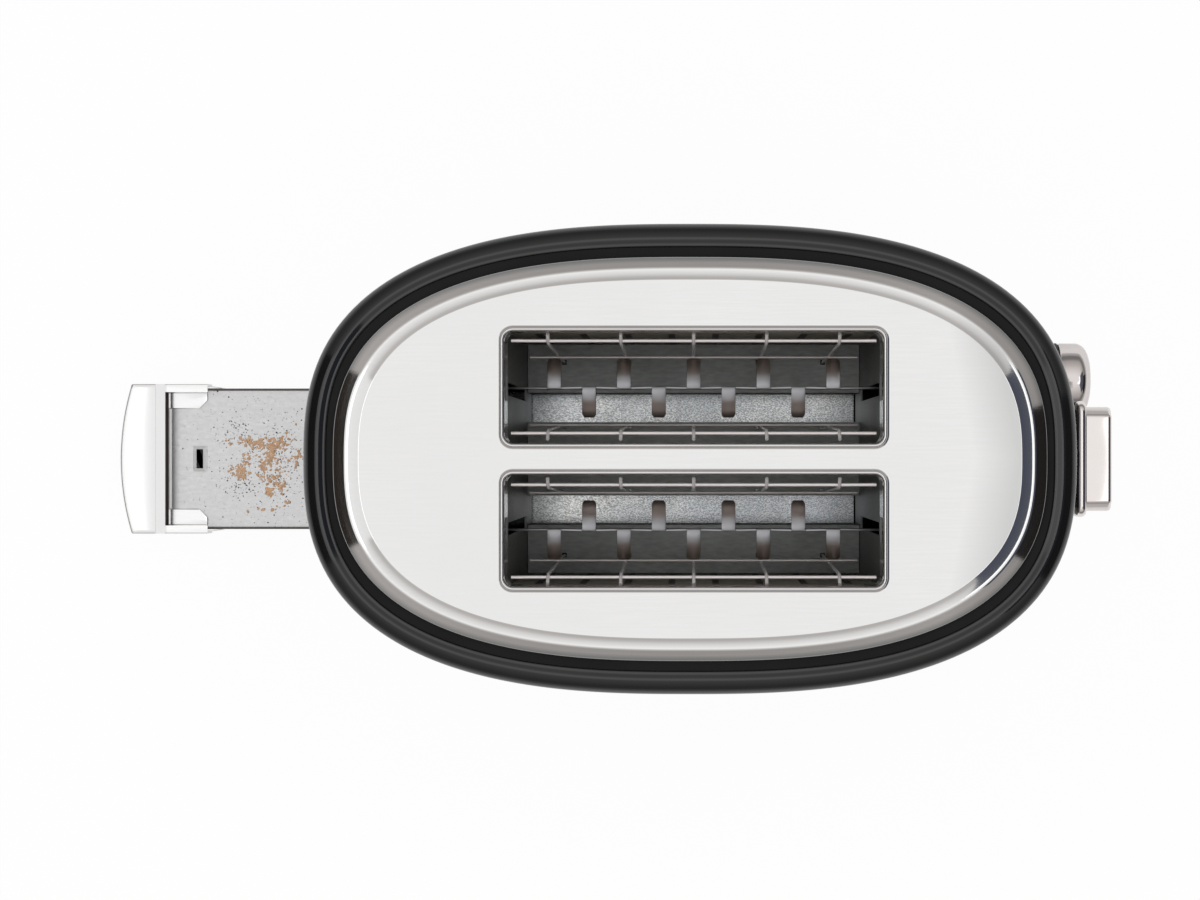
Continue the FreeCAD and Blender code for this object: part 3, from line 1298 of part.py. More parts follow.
def make_button_guide():
    """Bracket on the control board in which the buttons' stems slide."""
    body = new_body("button_guide")
    low, high = "button_low - guide_half_width", "button_low + 2 * button_pitch + guide_half_width"
    y = ("button_y - guide_half_width", "button_y + guide_half_width")
    x = ("guide_front - guide_sheet", "guide_front")
    add_prism(body, "YZ", rectangle(y, (low, high)), *x)
    board = "board_x + circuit_sheet"
    for z in ((low, f"{low} + guide_leg"), (f"{high} - guide_leg", high)):
        add_prism(body, "YZ", rectangle(y, z), board, "guide_front")
    for index in range(3):
        y, z = square_hole("button_y", f"button_low + {index} * button_pitch", "button_stem + fit_gap")
        cut_block(body, x, y, z)
    return body


def make_control_board():
    body = new_body("control_board")
    add_prism(body, "YZ",
              rectangle(("-1 * circuit_half_width", "circuit_half_width"), ("circuit_bottom", "circuit_top")),
              "board_x", "board_x + circuit_sheet")
    return body


def make_board_parts():
    """Key switches behind the buttons and the relay, soldered to the board."""
    front = "board_x + circuit_sheet"
    parts = []
    for index in range(3):
        z = f"button_low + {index} * button_pitch"
        parts.append(box(f"tact_{index}", (front, f"{front} + tact_depth"),
                         ("button_y - tact_size / 2", "button_y + tact_size / 2"),
                         (f"{z} - tact_size / 2", f"{z} + tact_size / 2")))
    parts.append(box("relay", (front, f"{front} + relay_depth"), ("-1 * relay_width", "0"),
                     ("circuit_bottom + tact_size", "circuit_bottom + tact_size + relay_length")))
    return group("board_parts", parts)


# Crumb tray

HANDLE_FRONT = "-1 * (body_half_length + tray_drawn)"
HANDLE_BACK = f"{HANDLE_FRONT} + handle_depth"


def make_tray_plate():
    """Sheet with turned-up edges and a small window for the handle's latch."""
    body = new_body("tray_plate")
    x = (HANDLE_BACK, f"{HANDLE_BACK} + tray_length")
    low = "tray_level - tray_sheet"
    half = [
        ("tray_half_width", "tray_level + tray_lip"),
        ("tray_half_width", low),
    ]
    inner = [
        ("-1 * (tray_half_width - tray_sheet)", "tray_level + tray_lip"),
        ("-1 * (tray_half_width - tray_sheet)", "tray_level"),
        ("tray_half_width - tray_sheet", "tray_level"),
        ("tray_half_width - tray_sheet", "tray_level + tray_lip"),
    ]
    outer = [("-1 * tray_half_width", low), ("-1 * tray_half_width", "tray_level + tray_lip")]
    add_prism(body, "YZ", half + outer + inner, *x)
    add_block(body, (f"{x[1]} - tray_sheet", x[1]),
              ("-1 * tray_half_width", "tray_half_width"), (low, "tray_level + tray_lip"))
    start = f"{HANDLE_BACK} + window_reach"
    cut_block(body, (start, f"{start} + window_length"),
              ("-1 * window_half_width", "window_half_width"), (low, "tray_level"))
    return body


def make_tray_handle():
    """Handle with a curved front, hollow behind, two clips, a tongue and tapered arms."""
    width = ("-1 * handle_half_width", "handle_half_width")
    block = box("handle_block", (HANDLE_FRONT, HANDLE_BACK), width, ("handle_bottom", "handle_top"))
    front = rod("handle_round", "z", (f"{HANDLE_FRONT} + handle_radius", "0"), "handle_radius",
                "handle_bottom", "handle_top")
    curved = doc.addObject("Part::Common", "handle_curved")
    curved.Base = block
    curved.Tool = front
    step = box("handle_step_cut", (f"{HANDLE_BACK} - handle_step", f"{HANDLE_BACK} + overrun"),
               ("-1 * handle_half_width - overrun", "handle_half_width + overrun"),
               ("handle_top - handle_step_depth", "handle_top + overrun"))
    floor = "tray_level + clip_sheet + handle_wall"
    sag = "handle_radius - sqrt(handle_radius ^ 2 - handle_half_width ^ 2)"
    pocket = box("handle_pocket", (f"{HANDLE_FRONT} + {sag} + handle_wall", HANDLE_BACK),
                 ("-1 * handle_half_width + handle_wall", "handle_half_width - handle_wall"),
                 (floor, "handle_top - handle_step_depth - handle_wall"))
    shell = cut("handle_shell", curved, [step, pocket])
    fittings = []
    for n, side in enumerate((1, -1)):
        clip = new_body(f"handle_clip_{n}")
        tip = f"{HANDLE_BACK} + clip_length"
        corners = [
            (HANDLE_BACK, "clip_inner"),
            (f"{tip} - clip_chamfer", "clip_inner"),
            (tip, "clip_inner + clip_chamfer"),
            (tip, "clip_outer"),
            (HANDLE_BACK, "clip_outer"),
        ]
        outline = [(u, on_side(side, v)) for u, v in corners]
        add_prism(clip, "XY", outline, "tray_level", "tray_level + clip_sheet")
        arm = new_body(f"handle_arm_{n}")
        end = f"{HANDLE_BACK} + handle_arm"
        corners = [
            (HANDLE_BACK, "tray_half_width + run_gap"),
            (end, "tray_half_width + run_gap"),
            (end, "tray_half_width + 2 * fit_gap"),
            (f"{end} - handle_arm_taper", "handle_half_width"),
            (HANDLE_BACK, "handle_half_width"),
        ]
        add_prism(arm, "XY", [(u, on_side(side, v)) for u, v in corners], "handle_arm_low", "handle_arm_top")
        fittings += [clip, arm]
    low = "tray_level - tray_sheet"
    fittings.append(box("handle_tongue", (HANDLE_BACK, f"{HANDLE_BACK} + tongue_length"),
                        ("-1 * tongue_half_width", "tongue_half_width"), (f"{low} - tongue_sheet", low)))
    return fused("tray_handle", [shell] + fittings)


# Assembly

def build():
    """Makes every piece and returns the objects that are written to files."""
    pieces = [
        make_outer_shell(), make_top_ring(), make_top_plate(), make_base_pan(), make_feet(),
        make_chassis_screws(), make_terminal_block(),
        make_end_wall("oven_end_front", 1), make_end_wall("oven_end_rear", -1),
        make_middle_channel(), make_crumb_bed(),
        make_carriage_plate(), make_carriage_block(), make_latch_armature(), make_lever_arm(),
        make_lever(), make_guide_rod(), make_rod_bracket(), make_lift_spring(),
        make_magnet_core(), make_magnet_coil(),
        make_dial(), make_dial_shaft(), make_dial_bezel(), make_dial_switch(),
        make_button_guide(), make_control_board(), make_board_parts(),
        make_tray_plate(), make_tray_handle(),
    ]
    for name, side in (("dial_side", 1), ("button_side", -1)):
        pieces.append(make_floor_plate(f"floor_plate_{name}", side))
        pieces.append(make_side_shield(f"side_shield_{name}", side))
        board = around(side, "board_offset", "board_offset + board_sheet")
        pieces.append(make_heater_board(f"heater_board_{name}", board))
        face = around(side, "board_offset - ribbon_thickness", "board_offset")
        pieces.append(feature(f"heater_ribbon_{name}", ribbon(face)))
        pieces.append(make_guard(f"guard_outer_{name}", side, "guard_foot_outer", "guard_knee_outer",
                                 "guard_tip_outer", 1))
        pieces.append(make_guard(f"guard_inner_{name}", side, "guard_foot_inner", "guard_knee_inner",
                                 "guard_tip_inner", -1))
        pieces.append(make_rack(f"rack_{name}", side))
    middle = ("-1 * board_sheet / 2", "board_sheet / 2")
    pieces.append(make_heater_board("heater_board_middle", middle))
    ribbon_range = ("board_sheet / 2", "board_sheet / 2 + ribbon_thickness")
    faces = [ribbon(around(side, *ribbon_range)) for side in (1, -1)]
    pieces.append(feature("heater_ribbon_middle", Part.makeCompound(faces)))
    for index, name in enumerate(("cancel", "defrost", "reheat")):
        pieces.append(make_button(f"button_{name}", index))
    return pieces


def check(pieces):
    """Stops when any object failed or any piece is not a valid solid."""
    for item in doc.Objects:
        if "Invalid" in item.State or "Error" in item.State:
            raise RuntimeError(f"{item.Label}: {item.State}")
    for item in pieces:
        shape = item.Shape
        if shape.isNull() or not shape.isValid() or not shape.Solids or shape.Volume <= 0:
            raise RuntimeError(f"{item.Label} is not a valid solid")


def write(pieces):
    os.makedirs("parts", exist_ok=True)
    for item in pieces:
        item.Shape.exportStep(f"parts/{item.Label}.step")
    print(len(pieces), "pieces written")


fill_sheet()
made = build()
doc.recompute()
check(made)
write(made)
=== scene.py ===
"""Looks of a two-slot toaster with an oval body and its crumb tray drawn out.

Lengths are in metres, and those that are multiplied by MM in millimetres. +X points to the lever's end.
"""
import json
import math
import random
from contextlib import contextmanager
from functools import cache

import bpy
from mathutils import Matrix, Vector


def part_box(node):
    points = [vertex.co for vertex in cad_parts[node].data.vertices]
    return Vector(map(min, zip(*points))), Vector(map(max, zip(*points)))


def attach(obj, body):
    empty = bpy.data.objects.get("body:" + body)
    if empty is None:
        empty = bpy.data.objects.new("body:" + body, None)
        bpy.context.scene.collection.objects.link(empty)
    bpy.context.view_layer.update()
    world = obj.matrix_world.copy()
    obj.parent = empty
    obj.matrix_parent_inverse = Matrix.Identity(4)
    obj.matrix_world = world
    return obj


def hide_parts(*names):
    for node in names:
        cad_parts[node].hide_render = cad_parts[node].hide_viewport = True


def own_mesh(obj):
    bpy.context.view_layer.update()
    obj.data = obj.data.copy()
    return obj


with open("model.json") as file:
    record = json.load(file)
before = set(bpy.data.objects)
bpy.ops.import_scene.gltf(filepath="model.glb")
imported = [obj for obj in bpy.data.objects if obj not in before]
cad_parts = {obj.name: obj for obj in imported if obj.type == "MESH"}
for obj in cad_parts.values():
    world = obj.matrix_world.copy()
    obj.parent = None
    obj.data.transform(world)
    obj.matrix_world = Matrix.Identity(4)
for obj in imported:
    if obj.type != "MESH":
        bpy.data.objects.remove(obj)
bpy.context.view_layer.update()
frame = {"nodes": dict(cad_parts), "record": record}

bl_info = {
    "name": "Oval toaster",
    "version": (1, 0, 0),
    "blender": (4, 5, 0),
    "location": "3D View > Sidebar > Toaster",
    "description": "Builds the dressed pieces of an oval two-slot toaster around its packed solids",
    "category": "Add Mesh",
}

MM = 0.001
NODES = frame["nodes"]
SIDES = (("dial_side", 1), ("button_side", -1))
BUTTONS = ("cancel", "defrost", "reheat")
RACK_SHIFT = 0.7 * MM  # how far the racks lie outwards of the slots' middle lines
MATERIALS = {}


# Selecting and editing

def begin():
    """Leaves edit mode and selects nothing, so that an operator acts on the new piece only."""
    if bpy.context.mode != "OBJECT":
        bpy.ops.object.mode_set(mode="OBJECT")
    bpy.ops.object.select_all(action="DESELECT")


def pick(*pieces):
    """Selects the pieces, the first of them active."""
    begin()
    for piece in pieces:
        piece.select_set(True)
    bpy.context.view_layer.objects.active = pieces[0]


@contextmanager
def editing(piece, kind="FACE"):
    """Edit mode on one piece, in which its own selection of that kind holds."""
    pick(piece)
    bpy.context.tool_settings.mesh_select_mode = tuple(kind == k for k in ("VERT", "EDGE", "FACE"))
    bpy.ops.object.mode_set(mode="EDIT")
    yield
    bpy.ops.object.mode_set(mode="OBJECT")


def choose(piece, kind, test):
    """Selects the vertices, edges or faces that pass a test on their places."""
    mesh = piece.data
    for items in (mesh.vertices, mesh.edges, mesh.polygons):
        items.foreach_set("select", [False] * len(items))
    places = [v.co for v in mesh.vertices]
    if kind == "VERT":
        for vertex in mesh.vertices:
            vertex.select = bool(test(vertex.co))
    elif kind == "EDGE":
        for edge in mesh.edges:
            edge.select = bool(test(*[places[i] for i in edge.vertices]))
    else:
        for face in mesh.polygons:
            face.select = bool(test(face.center, face.normal))


def shape(piece, kind, test, *steps):
    """Chooses parts of a piece and runs edit operators on them."""
    choose(piece, kind, test)
    with editing(piece, kind):
        for step in steps:
            step()


def round_edges(piece, size_mm, segments, test):
    """Bevels the edges that pass a test."""
    shape(piece, "EDGE", test,
          lambda: bpy.ops.mesh.bevel(offset=size_mm * MM, segments=segments, affect="EDGES"))


def extruded(way):
    """A step that draws the chosen edges out by a way."""
    return lambda: bpy.ops.mesh.extrude_edges_move(TRANSFORM_OT_translate={"value": way})


def at_level(level):
    """A test for the edges at a height."""
    return lambda a, b: abs(a.z - level) < 1e-6 and abs(b.z - level) < 1e-6


def anywhere(*places):
    return True


def along_x(a, b):
    """Whether an edge of a block runs along X."""
    return abs(a.x - b.x) > 1e-4


def at_front(x):
    """A test for the edges at a block's foremost X."""
    return lambda a, b: min(a.x, b.x) > x - 1e-5


def named(name):
    """The object that an operator has just made, under its own name."""
    piece = bpy.context.object
    piece.name = name
    piece.data.name = name
    return piece


def added(operator, name, **settings):
    """Runs an operator that adds an object, with nothing selected, and gives the object its name."""
    begin()
    operator(**settings)
    return named(name)


def settle(piece):
    """Puts the piece's place, turn and size into its mesh."""
    pick(piece)
    bpy.ops.object.transform_apply(location=True, rotation=True, scale=True)


def block(name, low, high):
    """A cube primitive between two corners."""
    piece = added(bpy.ops.mesh.primitive_cube_add, name, size=1,
                  location=[(a + b) / 2 for a, b in zip(low, high)])
    piece.scale = [b - a for a, b in zip(low, high)]
    settle(piece)
    return piece


def modify(piece, kind, **settings):
    """Adds a modifier and applies it."""
    pick(piece)
    added = piece.modifiers.new(kind.title(), kind)
    for key, value in settings.items():
        setattr(added, key, value)
    bpy.ops.object.modifier_apply(modifier=added.name)


def combine(piece, operation, *others):
    """Applies a boolean with each of the closed shapes and deletes them."""
    for other in others:
        modify(piece, "BOOLEAN", operation=operation, solver="EXACT", object=other)
        bpy.data.objects.remove(other)


def outwards(piece):
    """Merges doubles and points every face outwards."""
    shape(piece, "VERT", anywhere,
          lambda: bpy.ops.mesh.remove_doubles(threshold=1e-6),
          lambda: bpy.ops.mesh.normals_make_consistent(inside=False))


def smooth(piece, angle=32):
    pick(piece)
    bpy.ops.object.shade_smooth_by_angle(angle=math.radians(angle))


def joined(name, pieces):
    pick(*pieces)
    bpy.ops.object.join()
    return named(name)


def paint(piece, index, test):
    """Gives the faces that pass a test on their middle and normal one of the piece's finishes."""
    for face in piece.data.polygons:
        if test(face.center, face.normal):
            face.material_index = index


def dress(piece, body, slot, *finishes, replaces=()):
    """Puts a finished piece's place into its mesh, hangs it under its body, gives it its finishes and hides
    the nodes it stands for.

    Without a name of a finish, a piece that has no material gets the slot's own.
    """
    settle(piece)
    held = piece.data.materials
    if finishes or not any(held):
        held.clear()
        for name in finishes or (slot,):
            held.append(MATERIALS[name])
    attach(piece, body)
    if replaces:
        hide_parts(*replaces)


# Rings of points

def power_oval(half_length, half_width, power, turn):
    """A point of the oval and its outward normal, at a turn in radians."""
    c, s = math.cos(turn), math.sin(turn)
    x = half_length * math.copysign(abs(c) ** (2 / power), c)
    y = half_width * math.copysign(abs(s) ** (2 / power), s)
    normal = Vector((math.copysign(abs(x / half_length) ** (power - 1), x) / half_length,
                     math.copysign(abs(y / half_width) ** (power - 1), y) / half_width, 0))
    return Vector((x, y, 0)), normal.normalized()


def even_turns(half_length, half_width, power, count, samples=7200):
    """Turns at which the oval's points lie evenly along it."""
    points = [power_oval(half_length, half_width, power, 2 * math.pi * i / samples)[0]
              for i in range(samples + 1)]
    run = [0.0]
    for a, b in zip(points, points[1:]):
        run.append(run[-1] + (b - a).length)
    turns, at = [], 0
    for k in range(count):
        wanted = run[-1] * k / count
        while run[at + 1] < wanted:
            at += 1
        turns.append(2 * math.pi * at / samples)
    return turns


def ring_start(name, ring):
    """A circle primitive whose points are moved to a ring's places."""
    piece = added(bpy.ops.mesh.primitive_circle_add, name, vertices=len(ring), radius=1, fill_type="NOTHING")
    number = piece.data.attributes.new("place", "INT", "POINT")
    number.data.foreach_set("value", range(len(ring)))
    for vertex, place in zip(piece.data.vertices, ring):
        vertex.co = place
    piece.data.vertices.foreach_set("select", [True] * len(ring))
    piece.data.edges.foreach_set("select", [True] * len(ring))
    return piece


def ring_next(piece, ring):
    """Extrudes the chosen loop once and moves the new loop to a ring's places."""
    with editing(piece, "EDGE"):
        bpy.ops.mesh.extrude_edges_move()
    places = piece.data.attributes["place"].data
    for vertex in piece.data.vertices:
        if vertex.select:
            vertex.co = ring[places[vertex.index].value]


def rings(name, course, closed=False):
    """A band through several rings of as many points, closed in section if asked."""
    piece = ring_start(name, course[0])
    for ring in list(course[1:]) + ([course[0]] if closed else []):
        ring_next(piece, ring)
    if closed:
        outwards(piece)
    return piece


# Sizes that a user may change

def mm_property(label, text, default):
    return bpy.props.FloatProperty(name=label, description=text, default=default * MM, unit="LENGTH",
                                   precision=5)


def colour_property(label, text, default):
    return bpy.props.FloatVectorProperty(name=label, description=text, default=default, size=3,
                                         subtype="COLOR", min=0, max=1)


class ToasterBodySizes(bpy.types.PropertyGroup):
    half_length: mm_property("Half length", "Half length of the oval body", 139.9)
    half_width: mm_property("Half width", "Half width of the oval body", 85.1)
    power: bpy.props.FloatProperty(name="Roundness", description="Power of the oval, 2 is an ellipse",
                                   default=2.65)
    shell_foot: mm_property("Shell foot", "Height of the shell's lower edge", 9.0)
    seam: mm_property("Seam", "Height of the joint between shell and ring", 178.0)
    shoulder: mm_property("Shoulder", "Height where the ring's rounding begins", 183.0)
    shoulder_round: mm_property("Shoulder rounding", "Radius of the ring's rounding", 5.4)
    plate_top: mm_property("Plate height", "Height of the steel plate's flat", 192.0)


class ToasterSlotSizes(bpy.types.PropertyGroup):
    middle: mm_property("Middle", "X of the middle of the slots", 1.3)
    offset: mm_property("Offset", "Distance of a slot's middle line from the body's", 25.7)
    half_length: mm_property("Half length", "Half length of a slot", 67.9)
    half_width: mm_property("Half width", "Half width of a slot", 20.0)
    corner: mm_property("Corner", "Corner radius of a slot", 3.0)


class ToasterColours(bpy.types.PropertyGroup):
    black: colour_property("Body black", "Moulded body and ring", (0.006, 0.006, 0.0065))
    steel: colour_property("Plate steel", "Steel plate on top", (0.845, 0.84, 0.835))
    chrome: colour_property("Chrome", "Lever, dial and buttons", (0.84, 0.79, 0.77))
    crumb: colour_property("Crumbs", "Crumbs on the tray", (0.78, 0.5, 0.31))


class ToasterStage(bpy.types.PropertyGroup):
    world: bpy.props.FloatProperty(name="Surround", description="Level of the even light all round",
                                   default=0.62)
    overhead: bpy.props.FloatProperty(name="Overhead", description="Power of the softbox above",
                                      default=9.0, unit="POWER")


def sizes():
    return bpy.context.scene.toaster_body


def slots():
    return bpy.context.scene.toaster_slots


def colours():
    return bpy.context.scene.toaster_colours


# Node helpers

class Nodes:
    """A node tree under construction."""

    def __init__(self, tree):
        self.tree = tree

    def add(self, kind, inputs=None, **settings):
        """Adds a node, sets it and wires or fills its inputs."""
        made = self.tree.nodes.new(kind)
        for key, value in settings.items():
            setattr(made, key, value)
        for key, value in (inputs or {}).items():
            if isinstance(value, bpy.types.NodeSocket):
                self.tree.links.new(value, made.inputs[key])
            else:
                made.inputs[key].default_value = value
        return made

    def math(self, operation, *values):
        return self.add("ShaderNodeMath", dict(enumerate(values)), operation=operation).outputs[0]

    def blend(self, mask, first, second):
        """The first colour where the mask is 0 and the second where it is 1."""
        return self.add("ShaderNodeMix", {0: mask, 6: first, 7: second}, data_type="RGBA").outputs[2]

    def spread(self, value, low, high, to_low=0.0, to_high=1.0):
        """The value between low and high, spread from to_low to to_high and held there."""
        return self.add("ShaderNodeMapRange", {"Value": value, "From Min": low, "From Max": high,
                                               "To Min": to_low, "To Max": to_high}).outputs[0]

    def ramp(self, value, stops, most=2.5):
        """Greys or colours up to a most level against a value, straight between stops from 0 on."""
        made = self.add("ShaderNodeValToRGB", {0: value})
        points = made.color_ramp.elements
        points.remove(points[1])
        for at, *levels in stops:
            point = points.new(at) if at else points[0]
            point.color = tone(levels * 3 if len(levels) == 1 else levels, 1 / most)
        return self.add("ShaderNodeVectorMath", {0: made.outputs[0], "Scale": most},
                        operation="SCALE").outputs[0]

    def noise(self, given, detail):
        """Noise on a group's place, drawn out by its fineness."""
        place = self.add("ShaderNodeVectorMath", {0: given["Place"], 1: given["Fineness"]},
                         operation="MULTIPLY").outputs[0]
        return self.add("ShaderNodeTexNoise", {"Vector": place, "Scale": 1.0, "Detail": detail}).outputs[0]


NUMBER, VECTOR = "NodeSocketFloat", "NodeSocketVector"


def new_group(name, output, output_kind=NUMBER, **inputs):
    """An empty effect group: its nodes, its place and other inputs, and the socket of its output."""
    nodes = Nodes(bpy.data.node_groups.new(name, "ShaderNodeTree"))
    for label, kind in {"Place": VECTOR, **inputs}.items():
        nodes.tree.interface.new_socket(name=label, in_out="INPUT", socket_type=kind)
    nodes.tree.interface.new_socket(name=output, in_out="OUTPUT", socket_type=output_kind)
    return nodes, nodes.add("NodeGroupInput").outputs, nodes.add("NodeGroupOutput").inputs[output]


@cache
def make_streaks():
    """Fine noise stretched along one way, as brushing or rolling leaves it."""
    nodes, given, out = new_group("streaks", "Mask", Fineness=VECTOR, Low=NUMBER, High=NUMBER)
    nodes.tree.links.new(nodes.spread(nodes.noise(given, 3.0), given["Low"], given["High"]), out)
    return nodes.tree


@cache
def make_smudges():
    """Slow, uneven change from a low to a high value, as handling leaves it."""
    nodes, given, out = new_group("smudges", "Value", Scale=NUMBER, From=NUMBER, To=NUMBER)
    grain = nodes.add("ShaderNodeTexNoise", {"Vector": given["Place"], "Scale": given["Scale"],
                                             "Detail": 5.0, "Roughness": 0.6}).outputs[0]
    nodes.tree.links.new(nodes.spread(grain, 0.3, 0.7, given["From"], given["To"]), out)
    return nodes.tree


@cache
def make_specks():
    """Scattered small spots of uneven size."""
    nodes, given, out = new_group("specks", "Mask", Scale=NUMBER, Radius=NUMBER, Share=NUMBER)
    cells = nodes.add("ShaderNodeTexVoronoi", {"Vector": given["Place"], "Scale": given["Scale"]}).outputs
    chance = nodes.add("ShaderNodeSeparateColor", {0: cells["Color"]}).outputs
    near = nodes.math("LESS_THAN", cells["Distance"], nodes.math("MULTIPLY", given["Radius"], chance[1]))
    held = nodes.math("LESS_THAN", chance[0], given["Share"])
    nodes.tree.links.new(nodes.math("MULTIPLY", near, held), out)
    return nodes.tree


@cache
def make_tooth():
    """Bump of a fine uneven surface."""
    nodes, given, out = new_group("tooth", "Normal", VECTOR, Fineness=VECTOR, Strength=NUMBER, Depth=NUMBER)
    lift = nodes.add("ShaderNodeBump", {"Strength": given["Strength"], "Distance": given["Depth"],
                                        "Height": nodes.noise(given, 2.0)}).outputs[0]
    nodes.tree.links.new(lift, out)
    return nodes.tree


class Finish(Nodes):
    """A material under construction, with its object coordinates and its shader."""

    def __init__(self, name, **constants):
        MATERIALS[name] = material = bpy.data.materials.new(name)
        material.use_nodes = True
        super().__init__(material.node_tree)
        self.shader = self.tree.nodes["Principled BSDF"].inputs
        self.place = self.add("ShaderNodeTexCoord").outputs["Object"]
        for socket, value in constants.items():
            self.shader[socket].default_value = value

    def effect(self, maker, **inputs):
        """Places a shared effect and gives its output."""
        return self.add("ShaderNodeGroup", {"Place": self.place, **inputs}, node_tree=maker()).outputs[0]

    def streaks(self, fineness, low=0.35, high=0.65):
        return self.effect(make_streaks, Fineness=fineness, Low=low, High=high)

    def smudges(self, scale, start=0, end=1):
        return self.effect(make_smudges, Scale=scale, From=start, To=end)

    def specks(self, scale, radius, share):
        return self.effect(make_specks, Scale=scale, Radius=radius, Share=share)

    def axes(self):
        return self.add("ShaderNodeSeparateXYZ", {0: self.place}).outputs

    def done(self, colour, rough, fineness, bump, depth=0.0001):
        """Wires the colour, the roughness (a socket, or a scale and its range) and the bump."""
        if isinstance(rough, tuple):
            rough = self.smudges(*rough)
        if not isinstance(fineness, tuple):
            fineness = (fineness,) * 3
        normal = self.effect(make_tooth, Fineness=fineness, Strength=bump, Depth=depth)
        for socket, value in (("Base Color", colour), ("Roughness", rough), ("Normal", normal)):
            if value:
                self.tree.links.new(value, self.shader[socket])


def tone(colour, factor=1.0):
    return tuple(min(1.0, c * factor) for c in colour) + (1,)


def plastic(name, colour, rough, specular, bump):
    """Moulded plastic with handled, uneven gloss."""
    made = Finish(name, **{"Specular IOR Level": specular})
    shade = made.blend(made.smudges(30), tone(colour), tone(colour, 1.35))
    made.done(shade, (14, rough, rough + 0.07), 900, bump)


def steel(name, colour, rough, fineness, contrast):
    """Rolled or drawn metal with fine streaks along one way."""
    made = Finish(name, Metallic=1.0)
    shade = made.blend(made.streaks(fineness), tone(colour), tone(colour, 1 - contrast))
    made.done(shade, (18, rough, rough + 0.09), fineness, 0.08)


def plain(name, colour, rough, metallic=0.0, scale=60, bump=0.1):
    """Matt material with a slow change of shade."""
    made = Finish(name, Metallic=metallic)
    shade = made.blend(made.smudges(scale), tone(colour), tone(colour, 0.75))
    made.done(shade, (scale / 2, rough, rough + 0.1), 1200, bump)


def rack_finish():
    """Rack steel, browner towards the ends of its tabs: a painted reflection of the dark brown things the
    arched tabs face.
    """
    made = Finish("rack_steel", Metallic=1.0)
    out = made.math("ABSOLUTE", made.axes()[1])
    reach = made.math("ABSOLUTE", made.math("SUBTRACT", out, slots().offset + RACK_SHIFT))
    # Painted reflection: the tabs turn browner towards their ends.
    reflected_brown = made.math("MULTIPLY", made.spread(reach, 0.0034, 0.0062), made.smudges(120, 0.8, 1.0))
    shade = made.blend(reflected_brown, (0.36, 0.36, 0.375, 1), (0.43, 0.36, 0.33, 1))
    made.done(shade, (60, 0.28, 0.4), 500, 0.08)


ROLLED = (1300, 2600, 2600)  # fineness of the sheet's rolled streaks


def painted_light_mottle(made):
    """Colour of rolled sheet under the slots with a mottle of short streaks, its tones painted brighter than
    the steel's own to stand in for the light down in the slots.
    """
    mottle = made.streaks(ROLLED, 0.4, 0.6)
    light = made.blend(mottle, (0.40, 0.41, 0.39, 1), (1.0, 1.0, 0.97, 1))
    dull = made.blend(mottle, (0.36, 0.38, 0.41, 1), (0.70, 0.73, 0.77, 1))
    return made.blend(made.smudges(26), light, dull)


def bed_finish():
    """Rolled sheet that lies under the slots, painted bright to stand in for the light down in the slots."""
    made = Finish("bed_steel", Metallic=1.0)
    made.done(painted_light_mottle(made), (40, 0.16, 0.24), ROLLED, 0.15)


def tray_finish():
    """Satin tray sheet with dark specks and rims, with a mottle and painted light where it lies under the
    slots.
    """
    made = Finish("tray_steel", Metallic=1.0)
    along, across = made.axes()[:2]
    base = made.blend(made.streaks((300, 1100, 1100)), (0.65, 0.645, 0.645, 1), (0.59, 0.585, 0.585, 1))
    cloud = made.blend(made.smudges(420), base, (0.58, 0.58, 0.585, 1))
    fine, coarse = made.specks(1100, 0.26, 0.5), made.specks(420, 0.17, 0.16)
    speckled = made.blend(fine, cloud, (0.34, 0.335, 0.33, 1))
    speckled = made.blend(coarse, speckled, (0.12, 0.10, 0.09, 1))
    rim = made.spread(made.math("ABSOLUTE", across), 0.0286, 0.0288)
    edged = made.blend(rim, speckled, (0.09, 0.085, 0.08, 1))
    inside = made.spread(along, -0.155, -0.145)
    worn = made.spread(made.math("MAXIMUM", fine, coarse), 0, 1, 0.25, 0.5)
    rough = made.math("SUBTRACT", worn, made.math("MULTIPLY", inside, 0.08))
    # Painted light: under the slots the tray takes the bed's brighter colour instead of its own.
    made.done(made.blend(inside, edged, painted_light_mottle(made)), rough, (90, 1100, 1100), 0.1)


def plate_finish():
    """Bright satin steel with soft, broad cloudiness, and painted shade that darkens its flat towards the
    lever's end.
    """
    made = Finish("plate_steel", Metallic=1.0)
    bright, brushed = colours().steel, (60, 1400, 1400)
    fine = made.blend(made.streaks(brushed), tone(bright), tone(bright, 0.965))
    clouded = made.blend(made.smudges(9), fine, tone(bright, 0.95))
    along, across = made.axes()[:2]
    slant = made.math("MULTIPLY", made.math("ABSOLUTE", across), 0.2)
    # Painted shade: the flat turns darker towards the lever's end, standing in for the darker surround it
    # reflects there.
    painted_end_shade = made.spread(made.math("ADD", along, slant), 0.102, 0.1185)
    made.done(made.blend(painted_end_shade, clouded, tone(bright, 0.74)), (12, 0.06, 0.1), brushed, 0.03)


def plated(name, colour, rough, metallic=1.0):
    """Bright plating with faint finger marks."""
    made = Finish(name, Metallic=metallic)
    shade = made.blend(made.smudges(45), tone(colour), tone(colour, 0.94))
    made.done(shade, (60, rough, rough + 0.05), 300, 0.01)


def handle_finish():
    """White-bright plating, painted lighter on the clips behind the handle's wall to offset the shade and
    dark reflection that wall casts on them.
    """
    made = Finish("handle_steel", Metallic=1.0)
    clips = made.spread(made.axes()[0], -0.2196, -0.2186)
    # Painted light: the clips behind the wall get a lighter copy of the plating.
    shade = made.blend(clips, (0.775, 0.77, 0.77, 1), (0.95, 0.945, 0.945, 1))
    made.done(shade, (60, 0.15, 0.2), 300, 0.01)


def crumb_finish():
    """Toast crumbs from light to brown."""
    made = Finish("crumb", Roughness=0.8)
    base = colours().crumb
    shade = made.blend(made.smudges(420), tone(base, 1.05), tone(base, 0.68))
    made.done(shade, None, 2500, 0.5, 0.0002)


